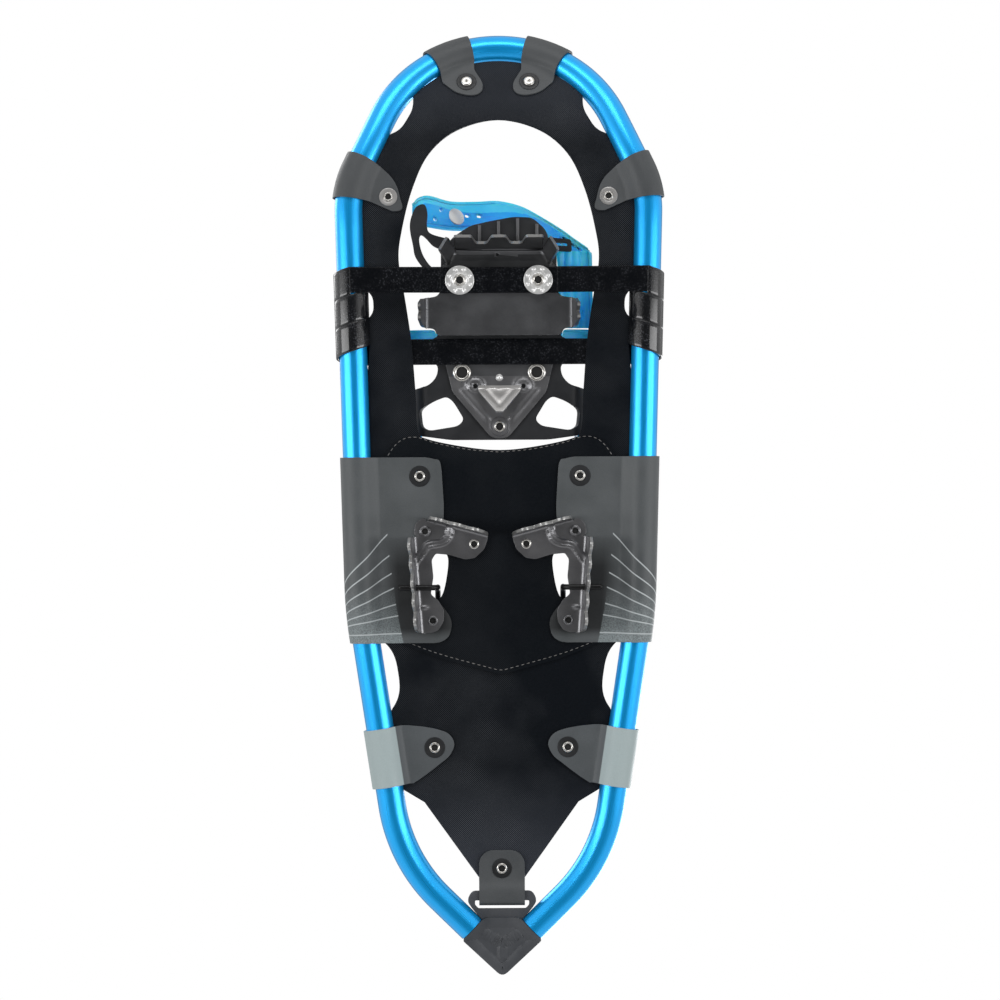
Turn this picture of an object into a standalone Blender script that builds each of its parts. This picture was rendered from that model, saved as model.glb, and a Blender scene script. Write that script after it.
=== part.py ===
"""One snowshoe with a bent tube frame, a riveted deck, folded crampons and a pitching binding.

Toe towards +Y, deck up, origin on the ground under the middle of the frame.
Sizes are written in millimetres and scaled to metres when a mesh is made.
"""

import math

import bmesh
import bpy
import numpy as np
from mathutils import Matrix, Vector

MM = 0.001
GAP = 0.4

# Driving dimensions of the frame
TUBE_RADIUS = 8.5
TUBE_WALL = 1.2
TUBE_CENTRE_Z = 26.0
TOE_Y = 278.9
FRAME_CORNERS = [(0.0, TOE_Y), (46.4, TOE_Y), (92.4, 193.7), (85.0, -66.0), (62.1, -217.3), (18.5, -259.9)]
CORNER_RADII = [62.3, 60.0, 300.0, 50.0]
TURN_UP_START_Y = 168.7
TURN_UP_RADIUS = 200.0

# Sheet layers, named from the deck outwards
DECK_THICKNESS = 1.2
PATCH_THICKNESS = 1.0
WRAP_THICKNESS = 1.2
WRAP_RADIUS = TUBE_RADIUS + GAP + 0.2 + WRAP_THICKNESS / 2
WRAP_LEG_START = 13.5
WRAP_TURN_DEG = 128.0
DECK_TOP = TUBE_CENTRE_Z + DECK_THICKNESS / 2
DECK_BOTTOM = TUBE_CENTRE_Z - DECK_THICKNESS / 2
PATCH_TOP = DECK_BOTTOM - GAP
PATCH_BOTTOM = PATCH_TOP - PATCH_THICKNESS
LEG_HEIGHT = DECK_THICKNESS / 2 + GAP + WRAP_THICKNESS / 2
SIDE_LEG_HEIGHT = TUBE_CENTRE_Z - PATCH_BOTTOM + GAP + WRAP_THICKNESS / 2
HEEL_PLATE_TOP = TUBE_CENTRE_Z - SIDE_LEG_HEIGHT - WRAP_THICKNESS / 2 - GAP

# Suspension strap
STRAP_WIDTH = 15.8
STRAP_THICKNESS = 1.6
STRAP_FRONT_Y = 137.5
STRAP_TURNS = 2.5
STRAP_PITCH = 17.2
STRAP_REAR_Y = STRAP_FRONT_Y - STRAP_TURNS * STRAP_PITCH
STRAP_RADIUS = TUBE_RADIUS + GAP + 0.1 + STRAP_THICKNESS / 2
STRAP_CENTRE_HALF = 36.0
PIVOT_Z = 19.5
REAR_STRAP_Z = 27.8
REAR_STRAP_FLAT_HALF = 56.0

# Binding
STEEL = 1.8
TOE_PLATE_Z = PIVOT_Z + STRAP_THICKNESS / 2 + GAP
REAR_PLATE_Z = REAR_STRAP_Z + STRAP_THICKNESS / 2 + GAP
REAR_PLATE_THICKNESS = 1.5
BASE_THICKNESS = 2.6
BASE_FRONT_Z = TOE_PLATE_Z + STEEL + GAP
BASE_REAR_Z = REAR_PLATE_Z + REAR_PLATE_THICKNESS + GAP
BASE_STEP_FRONT_Y = 128.0
BASE_STEP_REAR_Y = 104.0
WING_START_X = 44.0
WING_REACH = 14.0
WING_RISE = 18.0

# Heel lift
BAIL_Y = -50.3
BAIL_Z = 15.5
BAIL_WIRE = 1.7
BAIL_HALF = 38.5
BAIL_END_X = 61.0
BAIL_LENGTH = 47.0
BAIL_REST_Z = 32.8

# Rivets
SHANK_RADIUS = 1.6
HOLE_RADIUS = 2.4
HEAD_RADIUS = 4.2
HEAD_HEIGHT = 1.6
RIVET_SIDES = 8
WASHER_RADIUS = 8.9
WASHER_THICKNESS = 1.2

COLOURS = {
    "anodised_blue": ((0.02, 0.27, 0.62), 0.3, 0.9),
    "deck_fabric": ((0.012, 0.013, 0.016), 0.45, 0.0),
    "wrap_sheet": ((0.035, 0.036, 0.04), 0.5, 0.0),
    "strap_black": ((0.008, 0.008, 0.01), 0.25, 0.0),
    "tip_plastic": ((0.025, 0.025, 0.03), 0.5, 0.0),
    "dark_steel": ((0.09, 0.09, 0.1), 0.4, 0.8),
    "wire_black": ((0.01, 0.01, 0.01), 0.35, 0.6),
    "rivet_silver": ((0.6, 0.6, 0.62), 0.3, 0.95),
    "harness_black": ((0.015, 0.015, 0.017), 0.5, 0.0),
    "elastomer_blue": ((0.02, 0.32, 0.75), 0.4, 0.0),
}


def clear_scene():
    """Removes whatever the file held before."""
    for item in list(bpy.data.objects):
        bpy.data.objects.remove(item, do_unlink=True)


def new_collection(name):
    """A collection linked under the scene's root."""
    collection = bpy.data.collections.new(name)
    bpy.context.scene.collection.children.link(collection)
    return collection


def make_material(name):
    """A Principled material from the colour table."""
    colour, roughness, metallic = COLOURS[name]
    material = bpy.data.materials.new(name)
    material.use_nodes = True
    shader = material.node_tree.nodes["Principled BSDF"]
    shader.inputs["Base Color"].default_value = (*colour, 1.0)
    shader.inputs["Roughness"].default_value = roughness
    shader.inputs["Metallic"].default_value = metallic
    return material


clear_scene()
PARTS = new_collection("snowshoe")
CUTTERS = new_collection("snowshoe_cutters")
MATERIALS = {name: make_material(name) for name in COLOURS}


def add_part(name, mesh, material, axis_empty=None):
    """Links a mesh whose points are in millimetres of the shared frame as a named part."""
    mesh.transform(Matrix.Scale(MM, 4))
    mesh.shade_smooth()
    mesh.set_sharp_from_angle(angle=math.radians(35))
    part = bpy.data.objects.new(name, mesh)
    mesh.materials.append(MATERIALS[material])
    PARTS.objects.link(part)
    if axis_empty:
        part.parent = axis_empty
        part.matrix_parent_inverse = Matrix.Translation(axis_empty.location).inverted()
    return part


def add_axis(name, position):
    """An empty on a joint's axis, which carries the pieces that turn there."""
    empty = bpy.data.objects.new(name, None)
    empty.location = Vector(position) * MM
    PARTS.objects.link(empty)
    return empty


def hide_cutter(item):
    """Moves an operand into the cutters' collection, out of the render."""
    for collection in item.users_collection:
        collection.objects.unlink(item)
    CUTTERS.objects.link(item)
    item.parent = None
    item.hide_render = True
    item.display_type = "WIRE"


def boolean(part, operand, operation, solver="EXACT"):
    """Adds a Boolean of the part with an operand."""
    hide_cutter(operand)
    modifier = part.modifiers.new(operation.lower(), "BOOLEAN")
    modifier.operation = operation
    modifier.solver = solver
    modifier.object = operand


def curve_to_mesh(curve):
    """The welded, outward-facing mesh of a curve."""
    holder = bpy.data.objects.new("outline", curve)
    bpy.context.scene.collection.objects.link(holder)
    bpy.context.view_layer.update()
    evaluated = holder.evaluated_get(bpy.context.evaluated_depsgraph_get())
    mesh = bpy.data.meshes.new_from_object(evaluated)
    bpy.data.objects.remove(holder, do_unlink=True)
    bm = bmesh.new()
    bm.from_mesh(mesh)
    bmesh.ops.remove_doubles(bm, verts=bm.verts, dist=0.001)
    bmesh.ops.recalc_face_normals(bm, faces=bm.faces)
    bm.to_mesh(mesh)
    bm.free()
    return mesh


def plate_mesh(outlines, bottom, thickness):
    """A flat plate: the first outline is its edge, the others are holes in it."""
    curve = bpy.data.curves.new("plate", "CURVE")
    curve.dimensions = "2D"
    curve.fill_mode = "BOTH"
    curve.extrude = thickness / 2
    for outline in outlines:
        spline = curve.splines.new("POLY")
        spline.points.add(len(outline) - 1)
        for point, (x, y) in zip(spline.points, outline):
            point.co = (x, y, 0.0, 1.0)
        spline.use_cyclic_u = True
    mesh = curve_to_mesh(curve)
    mesh.transform(Matrix.Translation((0.0, 0.0, bottom + thickness / 2)))
    return mesh


def bend(mesh, move, rows=(), columns=()):
    """Cuts a mesh along rows of Y and columns of X, then moves every point by a function."""
    bm = bmesh.new()
    bm.from_mesh(mesh)
    cuts = [((0.0, y, 0.0), (0.0, 1.0, 0.0)) for y in rows]
    cuts += [((x, 0.0, 0.0), (1.0, 0.0, 0.0)) for x in columns]
    for place, normal in cuts:
        everything = bm.verts[:] + bm.edges[:] + bm.faces[:]
        bmesh.ops.bisect_plane(bm, geom=everything, plane_co=place, plane_no=normal, dist=0.0005)
    for vertex in bm.verts:
        vertex.co = move(vertex.co)
    bm.to_mesh(mesh)
    bm.free()
    return mesh


def grid_shell(grid, thickness):
    """A sheet through a grid of points (rows, columns, 3), thickened equally to both sides."""
    rows, columns = grid.shape[:2]
    number = np.arange(rows * columns).reshape(rows, columns)
    corners = (number[:-1, :-1], number[1:, :-1], number[1:, 1:], number[:-1, 1:])
    faces = np.stack(corners, axis=-1).reshape(-1, 4)
    mesh = bpy.data.meshes.new("sheet")
    mesh.from_pydata(grid.reshape(-1, 3).tolist(), [], faces.tolist())
    holder = bpy.data.objects.new("sheet", mesh)
    bpy.context.scene.collection.objects.link(holder)
    solidify = holder.modifiers.new("wall", "SOLIDIFY")
    solidify.thickness = thickness
    solidify.offset = 0.0
    solidify.use_even_offset = True
    bpy.context.view_layer.update()
    evaluated = holder.evaluated_get(bpy.context.evaluated_depsgraph_get())
    shell = bpy.data.meshes.new_from_object(evaluated)
    bpy.data.objects.remove(holder, do_unlink=True)
    return shell


def mirrored(half):
    """A closed outline from a half outline that starts and ends on the centre line.

    A centre point in the middle of a level edge isn't a corner, so it is left out.
    """
    half = list(half)
    if half[0][1] == half[1][1]:
        half = half[1:]
    if half[-1][1] == half[-2][1]:
        half = half[:-1]
    return half + [(-x, y) for x, y in reversed(half) if abs(x) > 1e-6]


def circle(x, y, radius, sides=8):
    """A round hole's outline."""
    angles = [2 * math.pi * i / sides for i in range(sides)]
    return [(x + radius * math.cos(a), y + radius * math.sin(a)) for a in angles]


def smooth(points, steps=3, closed=True):
    """A smooth curve through the points (Catmull-Rom), with a few steps for each span."""
    array = np.array(points, dtype=float)
    count = len(array)
    spans = count if closed else count - 1
    result = []
    for i in range(spans):
        index = [i - 1, i, i + 1, i + 2]
        if closed:
            a, b, c, d = (array[j % count] for j in index)
        else:
            a, b, c, d = (array[min(max(j, 0), count - 1)] for j in index)
        for t in np.arange(steps) / steps:
            bent = 2 * b + (c - a) * t + (2 * a - 5 * b + 4 * c - d) * t**2 + (3 * b - a - 3 * c + d) * t**3
            result.append(tuple(0.5 * bent))
    if not closed:
        result.append(tuple(array[-1]))
    return result


def flip_x(points):
    """The same outline on the other side of the centre line."""
    return [(-x, y) for x, y in points]


def rise(y):
    """How far the toe's turn-up lifts a point at this Y."""
    ahead = max(0.0, y - TURN_UP_START_Y)
    return TURN_UP_RADIUS - math.sqrt(TURN_UP_RADIUS**2 - ahead**2)


def lifted(point):
    """A point carried up by the toe's turn-up."""
    return Vector((point[0], point[1], point[2] + rise(point[1])))


def rounded_path(corners, radii, step=2.0):
    """Points along straight runs joined by arcs of the given radii."""
    points = [np.array(corners[0], dtype=float)]
    for i, radius in enumerate(radii, start=1):
        before, corner, after = (np.array(corners[j], dtype=float) for j in (i - 1, i, i + 1))
        inward = (before - corner) / np.linalg.norm(before - corner)
        outward = (after - corner) / np.linalg.norm(after - corner)
        half_turn = (math.pi - math.acos(float(np.dot(inward, outward)))) / 2
        reach = radius * math.tan(half_turn)
        middle = (inward + outward) / np.linalg.norm(inward + outward)
        centre = corner + middle * radius / math.cos(half_turn)
        first = corner + inward * reach - centre
        last = corner + outward * reach - centre
        steps = max(2, int(2 * half_turn * radius / step))
        for t in np.linspace(0.0, 1.0, steps + 1):
            turn = 2 * half_turn
            arm = (math.sin((1 - t) * turn) * first + math.sin(t * turn) * last) / math.sin(turn)
            points.append(centre + arm)
    points.append(np.array(corners[-1], dtype=float))
    return np.array(points)


def even_points(points, step):
    """The same route with a point at every step of its length."""
    lengths = np.concatenate(([0.0], np.cumsum(np.linalg.norm(np.diff(points, axis=0), axis=1))))
    stations = np.linspace(0.0, lengths[-1], int(lengths[-1] / step) + 1)
    return np.stack([np.interp(stations, lengths, points[:, k]) for k in range(points.shape[1])], axis=1)


def thin_points(points, turn_deg, longest):
    """Keeps a point where the route has turned enough, or has run far enough."""
    kept = [points[0]]
    heading = points[1] - points[0]
    for here, ahead in zip(points[1:-1], points[2:]):
        now = ahead - here
        cosine = np.dot(heading, now) / (np.linalg.norm(heading) * np.linalg.norm(now))
        turned = math.degrees(math.acos(min(1.0, max(-1.0, cosine))))
        if turned > turn_deg or np.linalg.norm(here - kept[-1]) > longest:
            kept.append(here)
            heading = now
    kept.append(points[-1])
    return kept


HALF_PLAN = even_points(rounded_path(FRAME_CORNERS, CORNER_RADII), 1.0)
PLAN_LENGTH = len(HALF_PLAN) - 1


def plan_frame(station):
    """Centre point, heading and inward direction of the tube's plan at a station in millimetres."""
    place = np.array([np.interp(station, np.arange(PLAN_LENGTH + 1), HALF_PLAN[:, k]) for k in (0, 1)])
    index = int(min(max(round(station), 2), PLAN_LENGTH - 2))
    heading = HALF_PLAN[index + 2] - HALF_PLAN[index - 2]
    heading /= np.linalg.norm(heading)
    return place, heading, np.array((heading[1], -heading[0]))


def station_at(y):
    """The station where the tube's side passes a given Y."""
    return float(np.argmin(np.abs(HALF_PLAN[:, 1] - y) + 1000.0 * (HALF_PLAN[:, 0] < 15.0)))


def tube_frame(station):
    """Centre, inward direction and upward direction of the tube in space."""
    place, heading, inward = plan_frame(station)
    slope = (rise(place[1] + heading[1]) - rise(place[1] - heading[1])) / 2
    along = Vector((heading[0], heading[1], slope)).normalized()
    inward = Vector((inward[0], inward[1], 0.0))
    centre = Vector((place[0], place[1], TUBE_CENTRE_Z + rise(place[1])))
    return centre, inward, inward.cross(along).normalized()


def tube_mesh(points, radius, resolution, caps):
    """A round bar or open tube along points, as a bevelled curve."""
    curve = bpy.data.curves.new("route", "CURVE")
    curve.dimensions = "3D"
    curve.bevel_depth = radius
    curve.bevel_resolution = resolution
    curve.use_fill_caps = caps
    spline = curve.splines.new("POLY")
    spline.points.add(len(points) - 1)
    for slot, point in zip(spline.points, points):
        slot.co = (*point, 1.0)
    return curve_to_mesh(curve)


def make_frame_tube():
    """The bent frame tube: an open bevelled curve with a wall inwards, open at both tail ends."""
    half = [np.array((x, y, TUBE_CENTRE_Z + rise(y))) for x, y in HALF_PLAN]
    other = [point * (-1.0, 1.0, 1.0) for point in half[:0:-1]]
    route = thin_points(other + half, turn_deg=6.0, longest=120.0)
    mesh = tube_mesh(route, TUBE_RADIUS, resolution=4, caps=False)
    part = add_part("frame_tube", mesh, "anodised_blue")
    wall = part.modifiers.new("wall", "SOLIDIFY")
    wall.thickness = TUBE_WALL * MM
    wall.offset = -1.0
    wall.use_even_offset = True


TIP_NECK_HALF = 9.0
TIP_SHOULDER = 1.8
TIP_ROUND = 1.6
TIP_LOOP_HALF = [(0.0, -256.5), (10.0, -256.5), (18.0, -247.8), (21.5, -242.5), (18.5, -236.8), (0.0, -236.8)]
TIP_SLOT_HALF = [(0.0, -247.6), (14.6, -247.6), (16.6, -245.4), (16.6, -242.3), (0.0, -242.3)]
TIP_LOOP_THICKNESS = 5.0
SPIGOT_DEPTH = 12.0
SPIGOT_ROOT = 3.0


def make_tail_tip():
    """The moulded V, its slotted loop and a spigot into each tube end."""
    end, heading, inward = plan_frame(PLAN_LENGTH)
    outer = end - inward * TUBE_RADIUS + heading * GAP
    inner = end + inward * TUBE_RADIUS + heading * GAP
    apex_y = outer[1] - outer[0] * abs(heading[1] / heading[0])
    nose = [(0.0, apex_y + 1.4), (2.6, apex_y + 2.6)]
    top = inner[1] + TIP_SHOULDER
    body = mirrored(nose + [tuple(outer), tuple(inner), (TIP_NECK_HALF, top), (0.0, top)])
    thickness = 2 * TUBE_RADIUS - 1.0
    part = add_part("tail_tip", plate_mesh([body], TUBE_CENTRE_Z - thickness / 2, thickness), "tip_plastic")
    bevel = part.modifiers.new("round", "BEVEL")
    bevel.width = TIP_ROUND * MM
    bevel.segments = 2
    bevel.limit_method = "ANGLE"
    outlines = [mirrored(TIP_LOOP_HALF), mirrored(TIP_SLOT_HALF)]
    mesh = plate_mesh(outlines, TUBE_CENTRE_Z - TIP_LOOP_THICKNESS / 2, TIP_LOOP_THICKNESS)
    loop = add_part("tip_loop", mesh, "tip_plastic")
    boolean(part, loop, "UNION")
    for side in (1.0, -1.0):
        deep = end - heading * SPIGOT_DEPTH
        start = end + heading * SPIGOT_ROOT
        points = [(side * x, y, TUBE_CENTRE_Z) for x, y in (start, deep)]
        mesh = tube_mesh(points, TUBE_RADIUS - TUBE_WALL - GAP, 3, True)
        spigot = add_part("tip_spigot", mesh, "tip_plastic")
        boolean(part, spigot, "UNION")


# Where the deck's edge stands back from the tube: middle Y, half length, extra clearance
DECK_RELIEFS = [(239.5, 17.0, 6.0), (STRAP_FRONT_Y - 21.5, 36.0, 4.5), (-105.0, 22.0, 8.0)]
DECK_CLEARANCE = 1.4
TOE_HOLE_HALF = [(0.0, 236.2), (26.0, 231.0), (44.2, 216.0), (54.5, 193.9), (60.5, 168.7), (62.0, 150.3),
                 (57.5, 125.8), (54.0, 101.2), (51.5, 70.0), (50.0, 46.0), (44.0, 40.5), (20.0, 35.5),
                 (0.0, 33.7)]
KIDNEY = [(33.0, -30.0), (38.0, -26.8), (43.5, -31.0), (44.5, -43.0), (43.5, -55.0), (38.5, -58.0),
          (34.6, -52.0), (32.0, -37.0)]
DECK_TAIL = [(60.0, -174.5), (47.2, -182.2), (10.8, -233.0), (0.0, -234.0)]
TURN_UP_ROWS = [182.0, 196.0, 210.0, 224.0, 238.0, 252.0, 264.0]

TOE_RIVETS = [(21.5, 259.5)]
SHOULDER_RIVETS = [(69.3, 190.0)]
SIDE_RIVETS = [(49.1, 17.8)]
HEEL_RIVETS = [(46.0, -16.0), (16.0, -23.8), (41.5, -70.6)]
REAR_RIVETS = [(40.8, -148.5)]
TAIL_RIVET_Y = -222.7


def both_sides(places):
    """Places on the right side and on the left side."""
    return [(side * x, y) for side in (1.0, -1.0) for x, y in places]


def relief(y):
    """Extra clearance of the deck's edge: smooth hollows at the slots and the windings."""
    depth = 0.0
    for middle, half, extra in DECK_RELIEFS:
        across = abs(y - middle) / half
        if across < 1.0:
            depth += extra * (1.0 - across**4)
    return depth


def deck_edge():
    """Right half of the deck's edge: along the tube, then in to the tail."""
    half = []
    for station in np.arange(0.0, station_at(DECK_TAIL[0][1]), 6.0):
        place, _, inward = plan_frame(station)
        point = place + inward * (TUBE_RADIUS + DECK_CLEARANCE + relief(place[1]))
        half.append((max(0.0, point[0]), point[1]))
    return half + DECK_TAIL


def make_deck():
    """The deck sheet with its toe hole, kidney holes and rivet holes, turned up at the toe."""
    toe_hole = smooth(mirrored(TOE_HOLE_HALF), steps=2)
    kidneys = [smooth(KIDNEY, steps=2), smooth(flip_x(KIDNEY), steps=2)]
    places = both_sides(TOE_RIVETS + SHOULDER_RIVETS + SIDE_RIVETS + HEEL_RIVETS + REAR_RIVETS)
    rivet_holes = [circle(x, y, HOLE_RADIUS) for x, y in places + [(0.0, TAIL_RIVET_Y)]]
    outlines = [mirrored(deck_edge()), toe_hole] + kidneys + rivet_holes
    mesh = plate_mesh(outlines, DECK_BOTTOM, DECK_THICKNESS)
    add_part("deck", bend(mesh, lifted, rows=TURN_UP_ROWS), "deck_fabric")


PATCH_FRONT = [(0.0, 32.5), (20.0, 34.3), (40.0, 38.5), (52.0, 41.0), (63.2, 39.0), (70.0, 31.0)]
PATCH_BACK = [(73.0, 20.0), (71.5, -60.0), (68.0, -80.0), (58.9, -85.9), (35.6, -94.5), (0.0, -104.3)]


def make_heel_patch():
    """The second layer under the heel, with ears in front and a shallow V behind."""
    front = smooth(PATCH_FRONT, 2, closed=False)
    kidneys = [smooth(KIDNEY, steps=2), smooth(flip_x(KIDNEY), steps=2)]
    holes = [circle(x, y, HOLE_RADIUS) for x, y in both_sides(SIDE_RIVETS + HEEL_RIVETS)]
    outlines = [mirrored(front + PATCH_BACK)] + kidneys + holes
    add_part("heel_patch", plate_mesh(outlines, PATCH_BOTTOM, PATCH_THICKNESS), "deck_fabric")


def wrap_section(station, reach, low_height):
    """Points of a wrap's hairpin section: lower tab, round the tube's outside, upper tab."""
    centre, inward, up = tube_frame(station)
    plan = Vector((inward[0], inward[1], 0.0)).normalized()

    def on_deck(distance, height):
        spot = centre + plan * distance
        return Vector((spot[0], spot[1], TUBE_CENTRE_Z + rise(spot[1]) + height))

    tab = [WRAP_LEG_START + t * (max(reach, WRAP_LEG_START + 1.0) - WRAP_LEG_START) for t in (1.0, 0.0)]
    section = [on_deck(distance, -low_height) for distance in tab]
    for angle in np.radians(np.linspace(-WRAP_TURN_DEG, WRAP_TURN_DEG, 9)):
        section.append(centre + (up * math.sin(angle) - inward * math.cos(angle)) * WRAP_RADIUS)
    return section + [on_deck(distance, LEG_HEIGHT) for distance in reversed(tab)]


def make_wrap(name, stations, reaches, low_height, rivets):
    """A pair of wraps; the reach of the tabs along the tube gives their outline."""
    sections = [wrap_section(s, r, low_height) for s, r in zip(stations, reaches)]
    right = np.array([[tuple(point) for point in section] for section in sections])
    for side, word in ((1.0, "right"), (-1.0, "left")):
        mesh = grid_shell(right * (side, 1.0, 1.0), WRAP_THICKNESS)
        part = add_part(f"{name}_{word}", mesh, "wrap_sheet")
        for x, y in rivets:
            hole = plate_mesh([circle(side * x, y, HOLE_RADIUS)], TUBE_CENTRE_Z - 12.0, 24.0)
            hole.transform(Matrix.Translation((0.0, 0.0, rise(y))))
            boolean(part, add_part("wrap_hole", hole, "wrap_sheet"), "DIFFERENCE")


# Tabs of the wraps: middle station and half length, root reach and swell of an ellipse, or Y and reach
TOE_WRAP = (31.5, 12.5, 16.0, 12.0)
SHOULDER_WRAP = (128.0, 15.0, 16.0, 15.5)
SWELL_SHIFT = 0.25
SIDE_WRAP_Y = [29.4, 26.0, 14.0, -8.0, -20.0, -27.0, -40.0, -57.0, -62.0, -71.0, -79.0, -84.0]
SIDE_WRAP_REACH = [47.0, 51.0, 52.0, 52.0, 47.0, 41.0, 40.0, 40.0, 49.0, 54.0, 52.0, 45.0]
REAR_WRAP_Y = [-136.8, -138.5, -142.5, -148.0, -153.0, -158.0, -164.0, -170.0, -174.8]
REAR_WRAP_REACH = [38.0, 43.0, 46.0, 46.5, 44.0, 37.0, 29.0, 21.0, 15.0]


def swelling_tab(sizes, shift):
    """Stations and reaches of a tab with an elliptic end, its crown moved by a share of its length."""
    middle, half, root, swell = sizes
    across = np.linspace(-1.0, 1.0, 7)
    height = np.sqrt(np.clip(1.0 - ((across - shift) / (1.0 + abs(shift))) ** 2, 0.0, 1.0))
    return middle + half * across, root + swell * height


def make_wraps():
    """Toe, shoulder, side and rear wraps, from the toe back."""
    make_wrap("toe_wrap", *swelling_tab(TOE_WRAP, -SWELL_SHIFT), LEG_HEIGHT, TOE_RIVETS)
    make_wrap("shoulder_wrap", *swelling_tab(SHOULDER_WRAP, SWELL_SHIFT), LEG_HEIGHT, SHOULDER_RIVETS)
    stations = [station_at(y) for y in SIDE_WRAP_Y]
    rivets = SIDE_RIVETS + [HEEL_RIVETS[0], HEEL_RIVETS[2]]
    make_wrap("side_wrap", stations, SIDE_WRAP_REACH, SIDE_LEG_HEIGHT, rivets)
    stations = [station_at(y) for y in REAR_WRAP_Y]
    make_wrap("rear_wrap", stations, REAR_WRAP_REACH, LEG_HEIGHT, REAR_RIVETS)


def make_tail_strap():
    """A short loop from the deck's tail through the tip's slot and back."""
    run = [(-212.5, -LEG_HEIGHT), (-230.0, -LEG_HEIGHT), (-236.0, -3.6), (-243.4, -3.6), (-244.8, -2.0),
           (-244.8, 2.0), (-243.4, 3.6), (-236.0, 3.6), (-230.0, LEG_HEIGHT), (-212.5, LEG_HEIGHT)]
    ends = [(-14.0, 1.0), (-11.0, 0.0), (11.0, 0.0), (14.0, 1.0)]
    columns = []
    for x, cut in ends:
        clipped = [(min(y, -212.5 - 3.0 * cut), z) for y, z in run]
        columns.append([(x, y, TUBE_CENTRE_Z + z) for y, z in clipped])
    part = add_part("tail_strap", grid_shell(np.array(columns), WRAP_THICKNESS), "wrap_sheet")
    hole = plate_mesh([circle(0.0, TAIL_RIVET_Y, HOLE_RADIUS)], TUBE_CENTRE_Z - 12.0, 24.0)
    boolean(part, add_part("tail_hole", hole, "wrap_sheet"), "DIFFERENCE")


def smoothstep(t):
    """An S-shaped ramp from 0 to 1."""
    t = min(1.0, max(0.0, t))
    return t * t * (3.0 - 2.0 * t)


def make_windings():
    """The strap's turns round each tube: one helical band from the bottom to the top of the tube."""
    steps = 16
    first = station_at(STRAP_FRONT_Y)
    turns = np.arange(int(STRAP_TURNS * steps) + 1) / steps
    rows = []
    for turn in turns:
        angle = -math.pi / 2 + 2 * math.pi * turn
        row = []
        for across in (-0.5, 0.5):
            centre, inward, up = tube_frame(first + STRAP_PITCH * turn + STRAP_WIDTH * across)
            row.append(tuple(centre + (up * math.sin(angle) - inward * math.cos(angle)) * STRAP_RADIUS))
        rows.append(row)
    band = np.array(rows)
    ahead = band[steps:, 0]
    behind = band[:-steps, 1]
    gap = float(np.linalg.norm(ahead - behind, axis=1).min())
    print("least gap of the winding to itself, mm:", round(gap, 2))
    for side, word in ((1.0, "right"), (-1.0, "left")):
        add_part(f"strap_winding_{word}", grid_shell(band * (side, 1.0, 1.0), STRAP_THICKNESS), "strap_black")


def strap_run(profile, middle_y):
    """A flat strap along X through (x, z) points of its middle surface."""
    half = STRAP_WIDTH / 2
    grid = np.array([[(x, middle_y + edge, z) for edge in (half, -half)] for x, z in profile])
    return grid_shell(grid, STRAP_THICKNESS)


def make_strap_runs(pivot):
    """The twisting front spans, the clamped middle of the front run and the rear run."""
    tube_x = plan_frame(station_at(STRAP_FRONT_Y))[0][0] - GAP
    low = TUBE_CENTRE_Z - STRAP_RADIUS
    inner = STRAP_CENTRE_HALF + GAP
    for side, word in ((1.0, "right"), (-1.0, "left")):
        steps = np.linspace(0.0, 1.0, 6)
        span = tube_x - inner
        profile = [(side * (inner + t * span), PIVOT_Z + (low - PIVOT_Z) * smoothstep(t)) for t in steps]
        add_part(f"pivot_strap_{word}", strap_run(profile, STRAP_FRONT_Y + GAP), "strap_black")
    half = STRAP_WIDTH / 2
    edge = [(STRAP_CENTRE_HALF, half), (-STRAP_CENTRE_HALF, half), (-STRAP_CENTRE_HALF, -half),
            (STRAP_CENTRE_HALF, -half)]
    outline = [(x, STRAP_FRONT_Y + y) for x, y in edge]
    holes = [circle(x, STRAP_FRONT_Y, HOLE_RADIUS) for x in CRAMPON_RIVET_X]
    mesh = plate_mesh([outline] + holes, PIVOT_Z - STRAP_THICKNESS / 2, STRAP_THICKNESS)
    add_part("pivot_strap_middle", mesh, "strap_black", pivot)
    tube_x = plan_frame(station_at(STRAP_REAR_Y))[0][0] - GAP
    high = TUBE_CENTRE_Z + STRAP_RADIUS
    profile = []
    for t in np.linspace(0.0, 1.0, 6):
        x = REAR_STRAP_FLAT_HALF + t * (tube_x - REAR_STRAP_FLAT_HALF)
        profile.append((x, REAR_STRAP_Z + (high - REAR_STRAP_Z) * smoothstep(t)))
    profile = [(-x, z) for x, z in reversed(profile)] + profile
    add_part("rear_strap", strap_run(profile, STRAP_REAR_Y - GAP), "strap_black")


def teeth_profile(length, teeth, root_drop, tip_drop, top):
    """A flange's outline: straight top, trapezoid teeth below."""
    pitch = length / teeth
    points = [(0.0, top)]
    for i in range(teeth):
        middle = (i + 0.5) * pitch
        points += [(middle - 0.46 * pitch, -root_drop), (middle - 0.2 * pitch, -tip_drop)]
        points += [(middle + 0.2 * pitch, -tip_drop), (middle + 0.46 * pitch, -root_drop)]
    return points + [(length, top)]


def flange_mesh(start, end, z, outlines, lean_deg=0.0, thickness=STEEL):
    """A folded-down flange along a line; its lower edge leans out to the right of the line."""
    along = Vector((end[0] - start[0], end[1] - start[1], 0.0)).normalized()
    outward = Vector((along[1], -along[0], 0.0))
    lean = math.radians(lean_deg)
    up = Vector((0.0, 0.0, math.cos(lean))) - outward * math.sin(lean)
    normal = along.cross(up)
    mesh = plate_mesh(outlines, 0.0, thickness)
    axes = Matrix((along, up, normal)).transposed().to_4x4()
    axes.translation = (start[0], start[1], z)
    mesh.transform(axes)
    return mesh


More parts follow.
